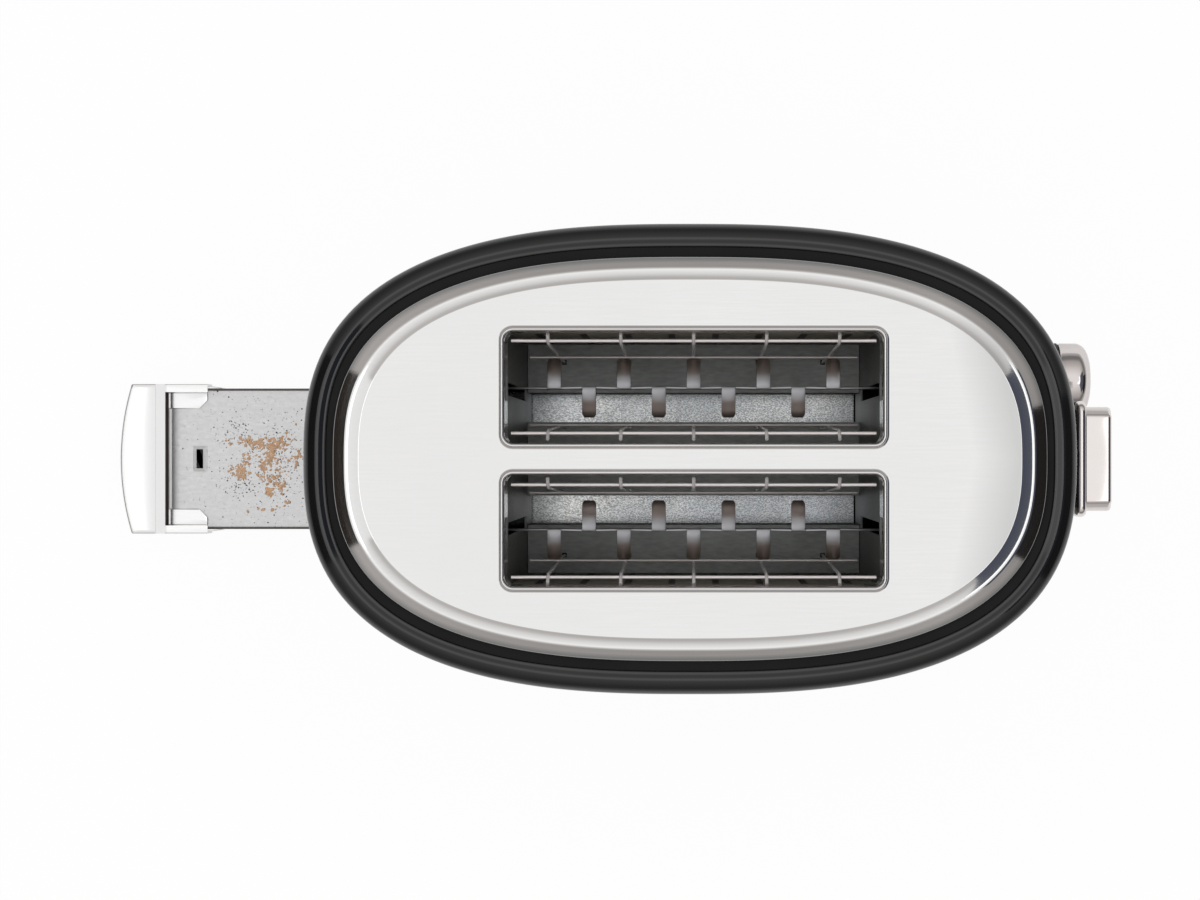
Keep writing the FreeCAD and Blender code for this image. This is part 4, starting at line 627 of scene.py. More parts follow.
class TOASTER_OT_finishes(bpy.types.Operator):
    """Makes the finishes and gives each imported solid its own"""
    bl_idname = "toaster.finishes"
    bl_label = "Finishes"

    def execute(self, context):
        plastic("body_black", colours().black, 0.07, 0.8, 0.02)
        plastic("base_black", (0.012, 0.012, 0.0125), 0.5, 0.4, 0.25)
        # Painted shade: a dull, barely glossy black for the ring's ledge, which lies in shade under the
        # plate's edge.
        plastic("ledge_shade_black", (0.008, 0.008, 0.008), 0.6, 0.15, 0.1)
        for make in (plate_finish, tray_finish, handle_finish, bed_finish, rack_finish, crumb_finish):
            make()
        plated("rim_steel", (0.82, 0.80, 0.79), 0.12)
        plated("chrome_trim", colours().chrome, 0.06)
        # Painted shade: the dial's chrome is a darker copy of the lever's, standing in for the dark lever
        # and body it reflects.
        plated("dial_chrome_shaded", (0.74, 0.69, 0.675), 0.07)
        plated("rod_steel", (0.6, 0.6, 0.6), 0.2)
        plated("guard_wire", (0.88, 0.83, 0.82), 0.18, 0.4)
        steel("zinc_steel", (0.33, 0.34, 0.33), 0.42, (260, 900, 260), 0.2)
        steel("copper_coil", (0.7, 0.3, 0.15), 0.3, (60, 60, 4000), 0.4)
        plain("handle_shade", (0.075, 0.05, 0.045), 0.5)
        plain("burnt", (0.09, 0.07, 0.06), 0.7, scale=300)
        plain("latch_dark", (0.012, 0.012, 0.012), 0.6)
        plain("mica", (0.33, 0.30, 0.25), 0.5, scale=90)
        plain("heater_wire", (0.16, 0.14, 0.13), 0.5, metallic=1.0)
        plain("foot_rubber", (0.02, 0.02, 0.02), 0.75, bump=0.3)
        plain("board_green", (0.03, 0.13, 0.06), 0.4)
        plain("board_cream", (0.62, 0.6, 0.52), 0.45)
        own = {"crumb_bed": "bed_steel", "guide_rod": "rod_steel", "dial_shaft": "rod_steel"}
        for part in frame["record"]["subparts"]:
            held = NODES[part["node"]].data.materials
            held.clear()
            held.append(MATERIALS[own.get(part["node"], part["material_slot"])])
        return {"FINISHED"}


# Shell and ring

def body_ring(inset, height, turns):
    """The body's outline, drawn in by a distance, at a height."""
    s = sizes()
    out = []
    for turn in turns:
        place, normal = power_oval(s.half_length, s.half_width, s.power, turn)
        out.append(place - normal * inset + Vector((0, 0, height)))
    return out


def body_band(name, section, turns):
    """A closed band along the body's outline from a section of inset and height in mm."""
    return rings(name, [body_ring(inset * MM, height * MM, turns) for inset, height in section], True)


def opening(name, low, high):
    """A block for a cut, its corners in mm."""
    return block(name, [v * MM for v in low], [v * MM for v in high])


class TOASTER_OT_shell(bpy.types.Operator):
    """Adds the upright shell and the moulded ring on top of it"""
    bl_idname = "toaster.shell"
    bl_label = "Shell and ring"

    def execute(self, context):
        s = sizes()
        turns = even_turns(s.half_length, s.half_width, s.power, 240)
        foot, seam = s.shell_foot / MM, s.seam / MM
        wall = [(0.0, foot + 0.5), (0.0, seam - 0.8), (0.15, seam - 0.42), (0.5, seam - 0.3),
                (1.2, seam - 0.3), (1.2, foot), (0.5, foot), (0.15, foot + 0.15)]
        shell = body_band("shell", wall, turns)
        low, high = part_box("lever_arm")
        inner, outer = 120, 160  # the cuts' X at the lever's end
        cuts = [opening("cut_arm", (inner, -2.3, low.z / MM - 83.5), (outer, 2.3, high.z / MM + 1))]
        for name in BUTTONS:
            low, high = (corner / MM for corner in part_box(f"button_{name}"))
            middle, half_height = (low.z + high.z) / 2, 3.9
            cuts.append(opening("cut_button", (inner, -36.4, middle - half_height),
                                (outer, -21.6, middle + half_height)))
        cuts.append(added(bpy.ops.mesh.primitive_cylinder_add, "cut_shaft", vertices=48, radius=3.6 * MM,
                          depth=0.05, location=(0.14, 0.0326, 0.040), rotation=(0, math.pi / 2, 0)))
        settle(cuts[-1])
        low, high = (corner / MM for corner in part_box("tray_handle"))
        slack = 0.5
        cuts.append(opening("cut_tray", (-160, low.y - slack, 0), (-110, high.y + slack, high.z + slack)))
        combine(shell, "DIFFERENCE", *cuts)
        smooth(shell)
        dress(shell, "chassis", "body_black", replaces=["outer_shell"])

        crest = (s.shoulder + s.shoulder_round) / MM
        section = [(0.5, seam), (0.15, seam + 0.12), (0.0, seam + 0.5)]
        section += [(inset, crest - drop) for inset, drop in (
            (0.0, 5.7), (0.05, 5.05), (0.25, 4.25), (0.6, 3.45), (1.1, 2.75), (1.7, 2.15), (2.4, 1.63),
            (3.2, 1.13), (4.0, 0.68), (4.6, 0.36), (5.1, 0.12), (5.35, 0.035), (5.65, 0.0), (5.95, 0.035),
            (6.2, 0.12), (6.6, 0.32), (7.0, 0.54), (7.35, 0.72), (7.6, 0.8), (7.8, 0.83), (8.0, 0.84),
            (8.2, 0.88), (8.4, 1.0), (8.55, 1.25), (8.65, 1.55), (8.8, 1.75), (9.2, 1.8),
            (17, 1.8), (17, 4.2), (6.0, 4.2), (3.2, 5.8), (2.4, 8))]
        section.append((2.4, seam))
        ring = body_band("ring", section, turns)
        smooth(ring, 40)
        dress(ring, "chassis", "body_black", "body_black", "ledge_shade_black", replaces=["top_ring"])
        # Painted shade: the ledge under the plate's edge gets the dull black so that it reads as shaded.
        paint(ring, 1, lambda c, n: n.z > 0.9 and c.z < (crest - 1.7) * MM)
        return {"FINISHED"}


# Steel plate

DEEP_END = 0.006  # how far from its end a slot's collar is deeper
NOTCH = 0.0046  # half width of the notch in the collar's end
SHEET = 0.6 * MM  # thickness of the plate and its collars


def slot_ring(side, offset, height, steps=8):
    """A slot's outline, drawn outwards by an offset, with points where its collar changes depth."""
    s = slots()
    x, y, r = s.half_length + offset, s.half_width + offset, s.corner + offset
    end = s.half_length - DEEP_END
    out = []
    for quarter in range(4):
        sx, sy = ((1, 1), (-1, 1), (-1, -1), (1, -1))[quarter]
        start = 90 * quarter
        corner = [(sx * (x - r) + r * math.cos(math.radians(start + 90 * k / steps)),
                   sy * (y - r) + r * math.sin(math.radians(start + 90 * k / steps)))
                  for k in range(steps + 1)]
        out += corner
        if quarter % 2 == 0:
            out += [(sx * f * end, sy * y) for f in (1, 0.6, 0.2, -0.2, -0.6, -1)]
        else:
            out += [(sx * x, sy * v) for v in (NOTCH, -NOTCH)]
    centre = Vector((s.middle, side * s.offset, height))
    return [centre + Vector((u, v, 0)) for u, v in out]


def capped(piece, *levels):
    """Closes the open loops of a band at the given heights and points its faces outwards."""
    for level in levels:
        shape(piece, "EDGE", at_level(level), lambda: bpy.ops.mesh.edge_face_add())
    outwards(piece)


def thicken(piece, thickness):
    """Gives an open sheet its thickness below its upper side."""
    outwards(piece)
    highest = max(piece.data.polygons, key=lambda face: (round(face.center.z, 6), face.area))
    if highest.normal.z < 0:
        shape(piece, "FACE", anywhere, lambda: bpy.ops.mesh.flip_normals())
    modify(piece, "SOLIDIFY", thickness=thickness, offset=-1.0, use_even_offset=False)


class TOASTER_OT_plate(bpy.types.Operator):
    """Adds the drawn steel plate with the rolled rims of its two slots"""
    bl_idname = "toaster.plate"
    bl_label = "Steel plate"

    def execute(self, context):
        top, reach = sizes().plate_top, 0.01
        skin = self.skin(top)
        for name, side in SIDES:
            cutter = rings(f"cut_{name}", [slot_ring(side, 1.5 * MM, top + h) for h in (-reach, reach)])
            capped(cutter, top - reach, top + reach)
            combine(skin, "DIFFERENCE", cutter)
        skin.data.materials.append(MATERIALS["plate_steel"])
        plate = joined("plate", [skin] + [self.collar(side, top) for _, side in SIDES])
        smooth(plate, 38)
        dress(plate, "chassis", "plate_steel", replaces=["top_plate"])
        return {"FINISHED"}

    def skin(self, top):
        """The raised form from its edge on the ring's ledge up to its flat, from insets and lifts."""
        s = sizes()
        turns = even_turns(s.half_length, s.half_width, s.power, 240)
        low = s.shoulder + s.shoulder_round - 1.78 * MM
        facet_end, roll_start, roll_run = 4.3, 5.05, 3.75
        rise = [(0.0, 0.0), (0.06, 0.9), (0.2, 1.45), (0.45, 1.8), (0.8, 2.05), (2.5, 3.03),
                (4.1, 3.954), (facet_end, 4.07), (4.6, 4.2), (4.85, 4.26), (roll_start, 4.27),
                (5.3, 4.29), (5.7, 4.353), (6.3, 4.47), (7.0, 4.657), (7.6, 4.875), (8.2, 5.148),
                (8.7, 5.414), (8.8, 5.45), (9.05, 5.45)]
        course = []
        for inset, lift in rise:
            height = low + (top - low) * lift / rise[-1][1]
            along = (inset + 0.45 * min(1, inset / facet_end)
                     + 0.7 * max(0, (inset - roll_start) / roll_run))
            half_length, half_width = (129.0 - along) * MM, (73.1 - inset) * MM
            course.append([power_oval(half_length, half_width, s.power, turn)[0] + Vector((0, 0, height))
                           for turn in turns])
        skin = rings("plate", course)
        shape(skin, "EDGE", at_level(top), lambda: bpy.ops.mesh.edge_face_add())
        thicken(skin, SHEET)
        return skin

    def collar(self, side, top):
        """A rolled rim and the collar under it, deeper at the slot's ends but for a notch."""
        t = slots()
        bead = [(2.5, -0.12), (2.2, 0.0), (1.9, 0.1), (1.65, 0.26), (1.42, 0.5), (1.2, 0.7), (0.98, 0.8),
                (0.74, 0.78), (0.5, 0.66), (0.28, 0.44), (0.1, 0.1), (0.0, -0.35), (0.0, -3.0)]
        collar = rings("collar", [slot_ring(side, u * MM, top + v * MM) for u, v in bead])
        rim, depth, more = 0.003, 0.002, 0.013  # of the rim, of the collar all round, and at its ends

        def in_notch(p):
            return (abs(p.y - t.offset * side) < NOTCH + 0.0001
                    and abs(p.x - t.middle) > t.half_length - 0.0005)

        def beside_notch(a, b, level):
            return at_level(level)(a, b) and not (in_notch(a) and in_notch(b))

        shape(collar, "EDGE", lambda a, b: beside_notch(a, b, top - rim), extruded((0, 0, -depth)))
        shape(collar, "EDGE", lambda a, b: beside_notch(a, b, top - rim - depth)
              and abs((a.x + b.x) / 2 - t.middle) > t.half_length - DEEP_END, extruded((0, 0, -more)))
        thicken(collar, SHEET)
        collar.data.materials.append(MATERIALS["rim_steel"])
        return collar


# Guards and racks

def wire(name, points, radius, bend=0.0):
    """A round wire along a bent line, with its bends rounded."""
    points = [Vector(point) for point in points]
    course = [points[0]]
    for before, at, after in zip(points, points[1:], points[2:]):
        start, end = at + (before - at).normalized() * bend, at + (after - at).normalized() * bend
        for k in range(7):
            f = k / 6
            course.append(start * (1 - f) ** 2 + at * 2 * f * (1 - f) + end * f * f)
    course.append(points[-1])
    piece = added(bpy.ops.curve.primitive_bezier_curve_add, name)
    curve = piece.data
    curve.splines.clear()
    line = curve.splines.new("POLY")
    line.points.add(len(course) - 1)
    for point, place in zip(line.points, course):
        point.co = (*place, 1)
    curve.dimensions = "3D"
    curve.bevel_depth = radius
    curve.bevel_resolution = 3
    curve.use_fill_caps = True
    pick(piece)
    bpy.ops.object.convert(target="MESH")
    return bpy.context.object


class TOASTER_OT_guards(bpy.types.Operator):
    """Adds the four welded bread guards of round wire"""
    bl_idname = "toaster.guards"
    bl_label = "Bread guards"

    def execute(self, context):
        x_middle = slots().middle
        radius, pitch = 0.65 * MM, 26.4 * MM
        low_z, knee_z, base_z = 107, 180.5, 49.6
        for name, side in SIDES:
            for place, foot, knee, tip, out in (("outer", 39.4, 41.9, 45.3, 1),
                                                ("inner", 13.6, 10.3, 7.1, -1)):
                label = f"guard_{place}_{name}"
                wires = []
                for k in range(-2, 3):
                    x = x_middle + pitch * k
                    points = [(x, side * foot * MM, 49.7 * MM), (x, side * knee * MM, knee_z * MM),
                              (x, side * tip * MM, 184.3 * MM)]
                    wires.append(wire("upright", points, radius, 3 * MM))
                halfway = foot + (knee - foot) * (low_z - base_z) / (knee_z - base_z)
                for y, z, half in ((knee + out, knee_z, 66.2), (halfway - out, low_z, 63.6)):
                    ends = [(x_middle + s * half * MM, side * y * MM, z * MM) for s in (-1, 1)]
                    wires.append(wire("lengthwise", ends, radius))
                piece = joined(f"wire_{label}", wires)
                outwards(piece)
                smooth(piece, 50)
                dress(piece, f"cage_{place}_{name}", "guard_wire", replaces=[label])
        return {"FINISHED"}


class TOASTER_OT_racks(bpy.types.Operator):
    """Adds the two bread racks: a strip on edge with tabs arched to both sides"""
    bl_idname = "toaster.racks"
    bl_label = "Bread racks"

    def execute(self, context):
        t, top = slots(), 156.5 * MM
        pitch, half_tab, narrowing = 12.95 * MM, 2.6 * MM, 0.72
        for name, side in SIDES:
            low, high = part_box(f"rack_{name}")
            y = side * (t.offset + RACK_SHIFT)
            piece = added(bpy.ops.mesh.primitive_plane_add, f"tabs_{name}", size=1,
                          location=((low.x + high.x) / 2, y, (low.z + top) / 2),
                          rotation=(math.pi / 2, 0, 0))
            piece.scale = (high.x - low.x, top - low.z, 1)
            settle(piece)
            centres = [t.middle + pitch * k for k in range(-4, 5)]
            for x in centres:
                for edge in (x - half_tab, x + half_tab):
                    shape(piece, "FACE", anywhere,
                          lambda: bpy.ops.mesh.bisect(plane_co=(edge, 0, 0), plane_no=(1, 0, 0)))
            reaches = [(1.2, -0.05), (2.6, -0.25), (4.4, -0.6), (6.4, -1.15), (8.2, -1.85),
                       (9.7, -2.55), (10.9, -3.2)]

            def at_tip(a, b):
                return (((a + b) / 2 - at).length < 0.3 * MM
                        and abs(a.y - b.y) < 1e-6 and abs(a.z - b.z) < 1e-6)

            for index, x in enumerate(centres):
                way = side if index % 2 == 0 else -side
                at = Vector((x, y, top))
                for reach, drop in reaches:
                    target = Vector((x, y + way * reach * MM, top + drop * MM))
                    shape(piece, "EDGE", at_tip, extruded(target - at))
                    at = target
                shape(piece, "EDGE", at_tip,
                      lambda: bpy.ops.transform.resize(value=(narrowing, 1, 1), center_override=at))
            modify(piece, "SOLIDIFY", thickness=0.8 * MM, offset=0.0)
            modify(piece, "BEVEL", width=0.18 * MM, segments=2, limit_method="ANGLE",
                   angle_limit=math.radians(50))
            outwards(piece)
            smooth(piece, 40)
            dress(piece, "lever_carriage", "rack_steel", replaces=[f"rack_{name}"])
        return {"FINISHED"}


# Lever, dial and buttons

class TOASTER_OT_lever(bpy.types.Operator):
    """Adds the plated lever: an upright flange with a facetted bar"""
    bl_idname = "toaster.lever"
    bl_label = "Lever"

    def execute(self, context):
        low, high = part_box("lever")
        front = 146.8 * MM
        grip = block("lever_grip", low, (front, high.y, high.z))
        round_edges(grip, 4.0, 8, along_x)
        round_edges(grip, 1.9, 7, at_front(front))
        round_edges(grip, 2.2, 7, lambda a, b: max(a.x, b.x) < low.x + 1e-5)
        bar = block("lever_bar", (front - 1 * MM, -19.3 * MM, 142.8 * MM), (high.x, 19.3 * MM, 159.2 * MM))
        round_edges(bar, 3.3, 1, along_x)
        round_edges(bar, 0.7, 4, along_x)
        round_edges(bar, 1.5, 6, at_front(high.x))
        combine(grip, "UNION", bar)
        slot = block("cut_arm", (low.x - 1 * MM, -1.5 * MM, 147 * MM),
                     (low.x + 2.1 * MM, 1.5 * MM, 155 * MM))
        combine(grip, "DIFFERENCE", slot)
        smooth(grip, 35)
        dress(grip, "lever_carriage", "chrome_trim", replaces=["lever"])
        return {"FINISHED"}


def turned(name, profile, centre, steps=96):
    """A shape turned about a level axis along X, from a profile of X and radius in mm."""
    turns = [2 * math.pi * k / steps for k in range(steps)]
    piece = rings(name, [[Vector((x * MM, centre[0] + r * MM * math.cos(turn),
                                  centre[1] + r * MM * math.sin(turn))) for turn in turns]
                         for x, r in profile])
    outwards(piece)
    return piece


class TOASTER_OT_dial(bpy.types.Operator):
    """Adds the plated browning dial with its mark"""
    bl_idname = "toaster.dial"
    bl_label = "Browning dial"

    def execute(self, context):
        low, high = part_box("dial")
        middle = ((low.y + high.y) / 2, (low.z + high.z) / 2)
        back, front, r = low.x / MM, high.x / MM, (high.z - low.z) / 2 / MM
        profile = [(back + 1.2, 0.0), (back + 1.2, r - 3.0), (back + 0.3, r - 2.6), (back, r - 0.9),
                   (back + 0.25, r - 0.3), (back + 0.8, r), (front - 6.0, r), (front - 5.2, r - 0.12)]
        dome = [(0.0, 0.0), (0.05, 3.0), (0.25, 6.0), (0.7, 8.8), (1.35, 11.0), (2.2, 12.6), (3.2, 13.7),
                (4.2, 14.35)]
        drawn = 14.9  # the knob's radius for which the dome is written
        profile += [(front - set_back, radius * r / drawn) for set_back, radius in reversed(dome)]
        knob = turned("knob", profile, middle)
        mark = block("cut_mark", (front * MM - 1.2 * MM, middle[0] - 0.5 * MM, middle[1] + 5.5 * MM),
                     (front * MM + 2 * MM, middle[0] + 0.5 * MM, middle[1] + 12.0 * MM))
        combine(knob, "DIFFERENCE", mark)
        smooth(knob, 35)
        # Painted shade: the knob wears the darker copy of the chrome.
        dress(knob, "dial_knob", "chrome_trim", "dial_chrome_shaded", replaces=["dial"])
        return {"FINISHED"}


class TOASTER_OT_buttons(bpy.types.Operator):
    """Adds the three plated push buttons with softened edges"""
    bl_idname = "toaster.buttons"
    bl_label = "Push buttons"

    def execute(self, context):
        for name in BUTTONS:
            low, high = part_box(f"button_{name}")
            y, z = (low.y + high.y) / 2, (low.z + high.z) / 2
            width, height = 7 * MM, 3.5 * MM  # halves
            cap = block(f"cap_{name}", (high.x - 12 * MM, y - width, z - height),
                        (high.x, y + width, z + height))
            round_edges(cap, 1.2, 5, along_x)
            shape(cap, "FACE", lambda c, n: n.x > 0.9, lambda: bpy.ops.mesh.inset(thickness=0.9 * MM),
                  lambda: bpy.ops.transform.translate(value=(-0.35 * MM, 0, 0)))
            round_edges(cap, 0.5, 4, at_front(high.x))
            back, half = high.x - 11.9 * MM, 2 * MM
            stem = block("stem", (low.x, y - half, z - half), (back, y + half, z + half))
            flange = block("flange", (high.x - 13.5 * MM, low.y, low.z), (back, high.y, high.z))
            combine(cap, "UNION", flange, stem)
            smooth(cap, 35)
            dress(cap, f"key_{name}", "chrome_trim", replaces=[f"button_{name}"])
        return {"FINISHED"}


class TOASTER_OT_spring(bpy.types.Operator):
    """Adds the finely wound lift spring on its rod"""
    bl_idname = "toaster.spring"
    bl_label = "Lift spring"

    def execute(self, context):
        low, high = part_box("lift_spring")
        middle = (low + high) / 2
        turns, steps, sides = 15, 20, 8
        radius = (high.y - low.y) / 2 - 0.6 * MM
        piece = added(bpy.ops.mesh.primitive_circle_add, "coil_spring", vertices=sides, radius=0.55 * MM,
                      fill_type="NGON", location=(middle.x + radius, middle.y, low.z + 0.6 * MM),
                      rotation=(math.pi / 2, 0, 0))
        settle(piece)
        height = high.z - low.z - 1.3 * MM
        shape(piece, "FACE", anywhere,
              lambda: bpy.ops.mesh.spin(steps=turns * steps, angle=2 * math.pi * turns, center=middle,
                                        axis=(0, 0, 1)))
        # The spin is drawn out into a coil by its order along the wire
        for index, vertex in enumerate(piece.data.vertices):
            vertex.co.z += height * (index // sides) / (turns * steps)
        outwards(piece)
        smooth(piece, 60)
        dress(piece, "chassis", "rack_steel", "rod_steel", replaces=["lift_spring"])
        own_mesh(piece)
        return {"FINISHED"}


# Crumb tray

class TOASTER_OT_tray(bpy.types.Operator):
    """Adds the tray's curved handle, its latch and the crumbs"""
    bl_idname = "toaster.tray"
    bl_label = "Crumb tray"

    def execute(self, context):
        self.handle()
        self.latch()
        self.crumbs()
        return {"FINISHED"}

    def handle(self):
        """A hollow bar with an arched front, and the clips, pads and arms that hold the plate."""
        low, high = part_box("tray_handle")
        back = low.x + 18.8 * MM
        width = 31.3 * MM
        root = back - 0.5 * MM
        clip_inner, clip_outer, pocket_floor = 21.1 * MM, 27.9 * MM, 17.2 * MM
        grip = block("tray_grip", (low.x, -width, low.z), (back, width, high.z))
        shape(grip, "EDGE", lambda a, b: abs(a.y - b.y) > 1e-3,
              lambda: bpy.ops.mesh.subdivide(number_cuts=31))
        radius = 107 * MM
        for vertex in grip.data.vertices:
            if vertex.co.x < low.x + 1e-5:
                vertex.co.x = low.x + radius - math.sqrt(radius ** 2 - vertex.co.y ** 2)
        round_edges(grip, 1.1, 4, lambda a, b: max(a.x, b.x) < back - 1e-4 and (
            abs(a.z - b.z) < 1e-6 or abs(abs(a.y) - width) < 1e-6 and abs(a.y - b.y) < 1e-6))
        round_edges(grip, 0.5, 3, lambda a, b: abs(a.x - b.x) > 1e-3 and abs(a.y - b.y) < 1e-6
                    and abs(a.y) > width - 1e-5 and min(a.z, b.z) > high.z - 1e-5)
        pocket = block("cut_pocket", (low.x + 4 * MM, -width + 2 * MM, pocket_floor),
                       (back + 1 * MM, width - 2 * MM, high.z - 2.6 * MM))
        step = block("cut_step", (back - 4 * MM, -width - 1 * MM, high.z - 0.6 * MM),
                     (back + 1 * MM, width + 1 * MM, high.z + 1 * MM))
        combine(grip, "DIFFERENCE", pocket, step)
        more = []
        for side in (1, -1):
            clip = self.flank("clip", side, (root, clip_inner, 14 * MM),
                              (back + 16 * MM, clip_outer, 15.2 * MM))
            round_edges(clip, 3.5, 1, lambda a, b: min(a.x, b.x) > back + 15 * MM
                        and abs(a.z - b.z) > 1e-4 and abs(a.y) < 22 * MM)
            round_edges(clip, 0.3, 2, lambda a, b: min(a.z, b.z) > 15 * MM)
            pad = self.flank("pad", side, (root, clip_outer, 14 * MM),
                             (back + 17.7 * MM, width, high.z - 0.62 * MM))
            round_edges(pad, 0.5, 3, lambda a, b: along_x(a, b) and min(a.z, b.z) > 18 * MM
                        and abs(a.y) > 31 * MM)
            arm = self.flank("arm", side, (back + 12 * MM, 29.65 * MM, 11 * MM),
                             (back + 22.4 * MM, width, 18.5 * MM))
            for vertex in arm.data.vertices:
                if vertex.co.x > back + 20 * MM and abs(vertex.co.y) > 31 * MM:
                    vertex.co.y = side * 30.0 * MM
            round_edges(arm, 0.4, 3, lambda a, b: along_x(a, b) and min(a.z, b.z) > 18 * MM
                        and abs(a.y + b.y) > 60.5 * MM)
            more += [clip, arm, pad]
        tongue = block("tongue", (root, -27 * MM, 11.7 * MM), (back + 14 * MM, 27 * MM, 13.3 * MM))
        combine(grip, "UNION", *more, tongue)
        for point, across in (((0, 0, pocket_floor), (0, 0, 1)), ((0, clip_inner, 0), (0, 1, 0)),
                              ((0, -clip_inner, 0), (0, 1, 0))):
            shape(grip, "FACE", lambda c, n: abs(c.x - back) < 0.1 * MM,
                  lambda: bpy.ops.mesh.bisect(plane_co=point, plane_no=across))
        smooth(grip, 35)
        dress(grip, "crumb_tray", "chrome_trim", "handle_steel", "handle_shade", "tray_steel",
              replaces=["tray_handle"])
        paint(grip, 2, lambda c, n: abs(c.x - back) < 0.1 * MM and abs(c.y) < clip_inner
              and c.z < pocket_floor)
        paint(grip, 1, lambda c, n: low.x + 3.9 * MM < c.x < back + 0.1 * MM
              and abs(c.y) < width - 1.9 * MM and 17.1 * MM < c.z < high.z - 0.7 * MM)

    def flank(self, name, side, low, high):
        """A block on one side of the middle, between corners whose Y is measured outwards."""
        near, far = sorted((side * low[1], side * high[1]))
        return block(name, (low[0], near, low[2]), (high[0], far, high[2]))

    def latch(self):
        """A small catch in the window: a bevelled frame round a dark sunk face."""
        low, high = (-210.2 * MM, -5.7 * MM, 12.4 * MM), (-204.1 * MM, 5.7 * MM, 14.3 * MM)
        catch = block("latch_frame", low, high)
        round_edges(catch, 0.5, 3, lambda a, b: abs(a.z - b.z) > 1e-5)
        shape(catch, "FACE", lambda c, n: n.z > 0.9, lambda: bpy.ops.mesh.inset(thickness=0.3 * MM))
        shape(catch, "FACE", lambda c, n: n.z > 0.9 and abs(c.x - (low[0] + high[0]) / 2) < 0.5 * MM
              and abs(c.y) < 3 * MM,
              lambda: bpy.ops.mesh.inset(thickness=1.35 * MM, depth=-0.4 * MM),
              lambda: bpy.ops.mesh.inset(thickness=0.15 * MM, depth=-0.4 * MM))
        dress(catch, "crumb_tray", "tray_steel", "tray_steel", "latch_dark")
        paint(catch, 1, lambda c, n: c.z < high[2] - 0.45 * MM and abs(n.x) + abs(n.y) < 1.5
              and low[0] + 1.5 * MM < c.x < high[0] - 1.5 * MM)

    def crumbs(self):
        """Small uneven lumps in loose clusters on the tray, and burnt grains between them.

        A cluster lists the X and Y of its middle and its spread along and across, in mm, and its count.
        """
        draw = random.Random(7)
        clusters = [
            (-191.5, -4.6, 1.6, 0.9, 34), (-189.0, -6.2, 1.5, 1.3, 50), (-187.0, 0.2, 1.1, 1.3, 30),
            (-183.2, 6.4, 2.2, 1.0, 56), (-177.1, 1.6, 1.1, 2.4, 80), (-175.9, 5.9, 2.6, 1.4, 80),
            (-180.4, -2.6, 0.9, 1.7, 34), (-177.5, -13.8, 1.1, 1.1, 36), (-172.8, -12.5, 1.1, 1.9, 30),
            (-177.0, -8.3, 2.2, 1.0, 44), (-166.5, 0.8, 1.3, 1.6, 20), (-189.4, 8.2, 1.4, 0.8, 14),
            (-195.0, 7.6, 0.9, 1.0, 8), (-170.8, 7.8, 2.4, 1.4, 30), (-172.0, -2.5, 3.5, 4.0, 40),
            (-180.0, -21.5, 2.5, 0.6, 9), (-171.0, -19.5, 2.0, 1.5, 7), (-120.0, 0.0, 24.0, 16.0, 60)]
        burnt = [(-181, 0, 9, 9, 200), (-191.5, 11.5, 4.5, 3.2, 90), (-191, -11, 4.5, 3, 90),
                 (-171, -4, 5, 10, 150), (-170, 12, 7, 6, 50), (-120, 0, 24, 18, 60)]
        self.scatter("crumbs", draw, clusters, (0.3, 0.4, 0.52, 0.7), "crumb")
        self.scatter("burnt_crumbs", draw, burnt, (0.14, 0.18, 0.22, 0.3), "burnt")

    def scatter(self, name, draw, clusters, radii, finish):
        """Lumps of mixed sizes round the middles of clusters, each a jolted small ball."""
        model = added(bpy.ops.mesh.primitive_ico_sphere_add, "lump_model", subdivisions=1, radius=1)
        lumps, sheet_top = [], 14.0 * MM
        for x, y, along, across, count in clusters:
            for _ in range(count):
                place = Vector((draw.gauss(x, along), draw.gauss(y, across), 0)) * MM
                size = draw.choice(radii) * MM
                scale = Vector((draw.uniform(0.7, 1.5), draw.uniform(0.7, 1.3),
                                draw.uniform(0.4, 0.7))) * size
                place.z = sheet_top + scale.z * 0.6
                place.y = max(-27 * MM, min(27 * MM, place.y))
                place.x = max(-202 * MM, place.x)
                turn = draw.uniform(0, 2 * math.pi)
                lump = model.copy()
                lump.data = model.data.copy()
                bpy.context.collection.objects.link(lump)
                for vertex in lump.data.vertices:
                    vertex.co *= draw.uniform(0.7, 1.15)
                lump.matrix_world = (Matrix.Translation(place) @ Matrix.Rotation(turn, 4, "Z")
                                     @ Matrix.Diagonal((*scale, 1)))
                lumps.append(lump)
        bpy.data.objects.remove(model)
        dress(joined(name, lumps), "crumb_tray", "tray_steel", finish)


# Stage

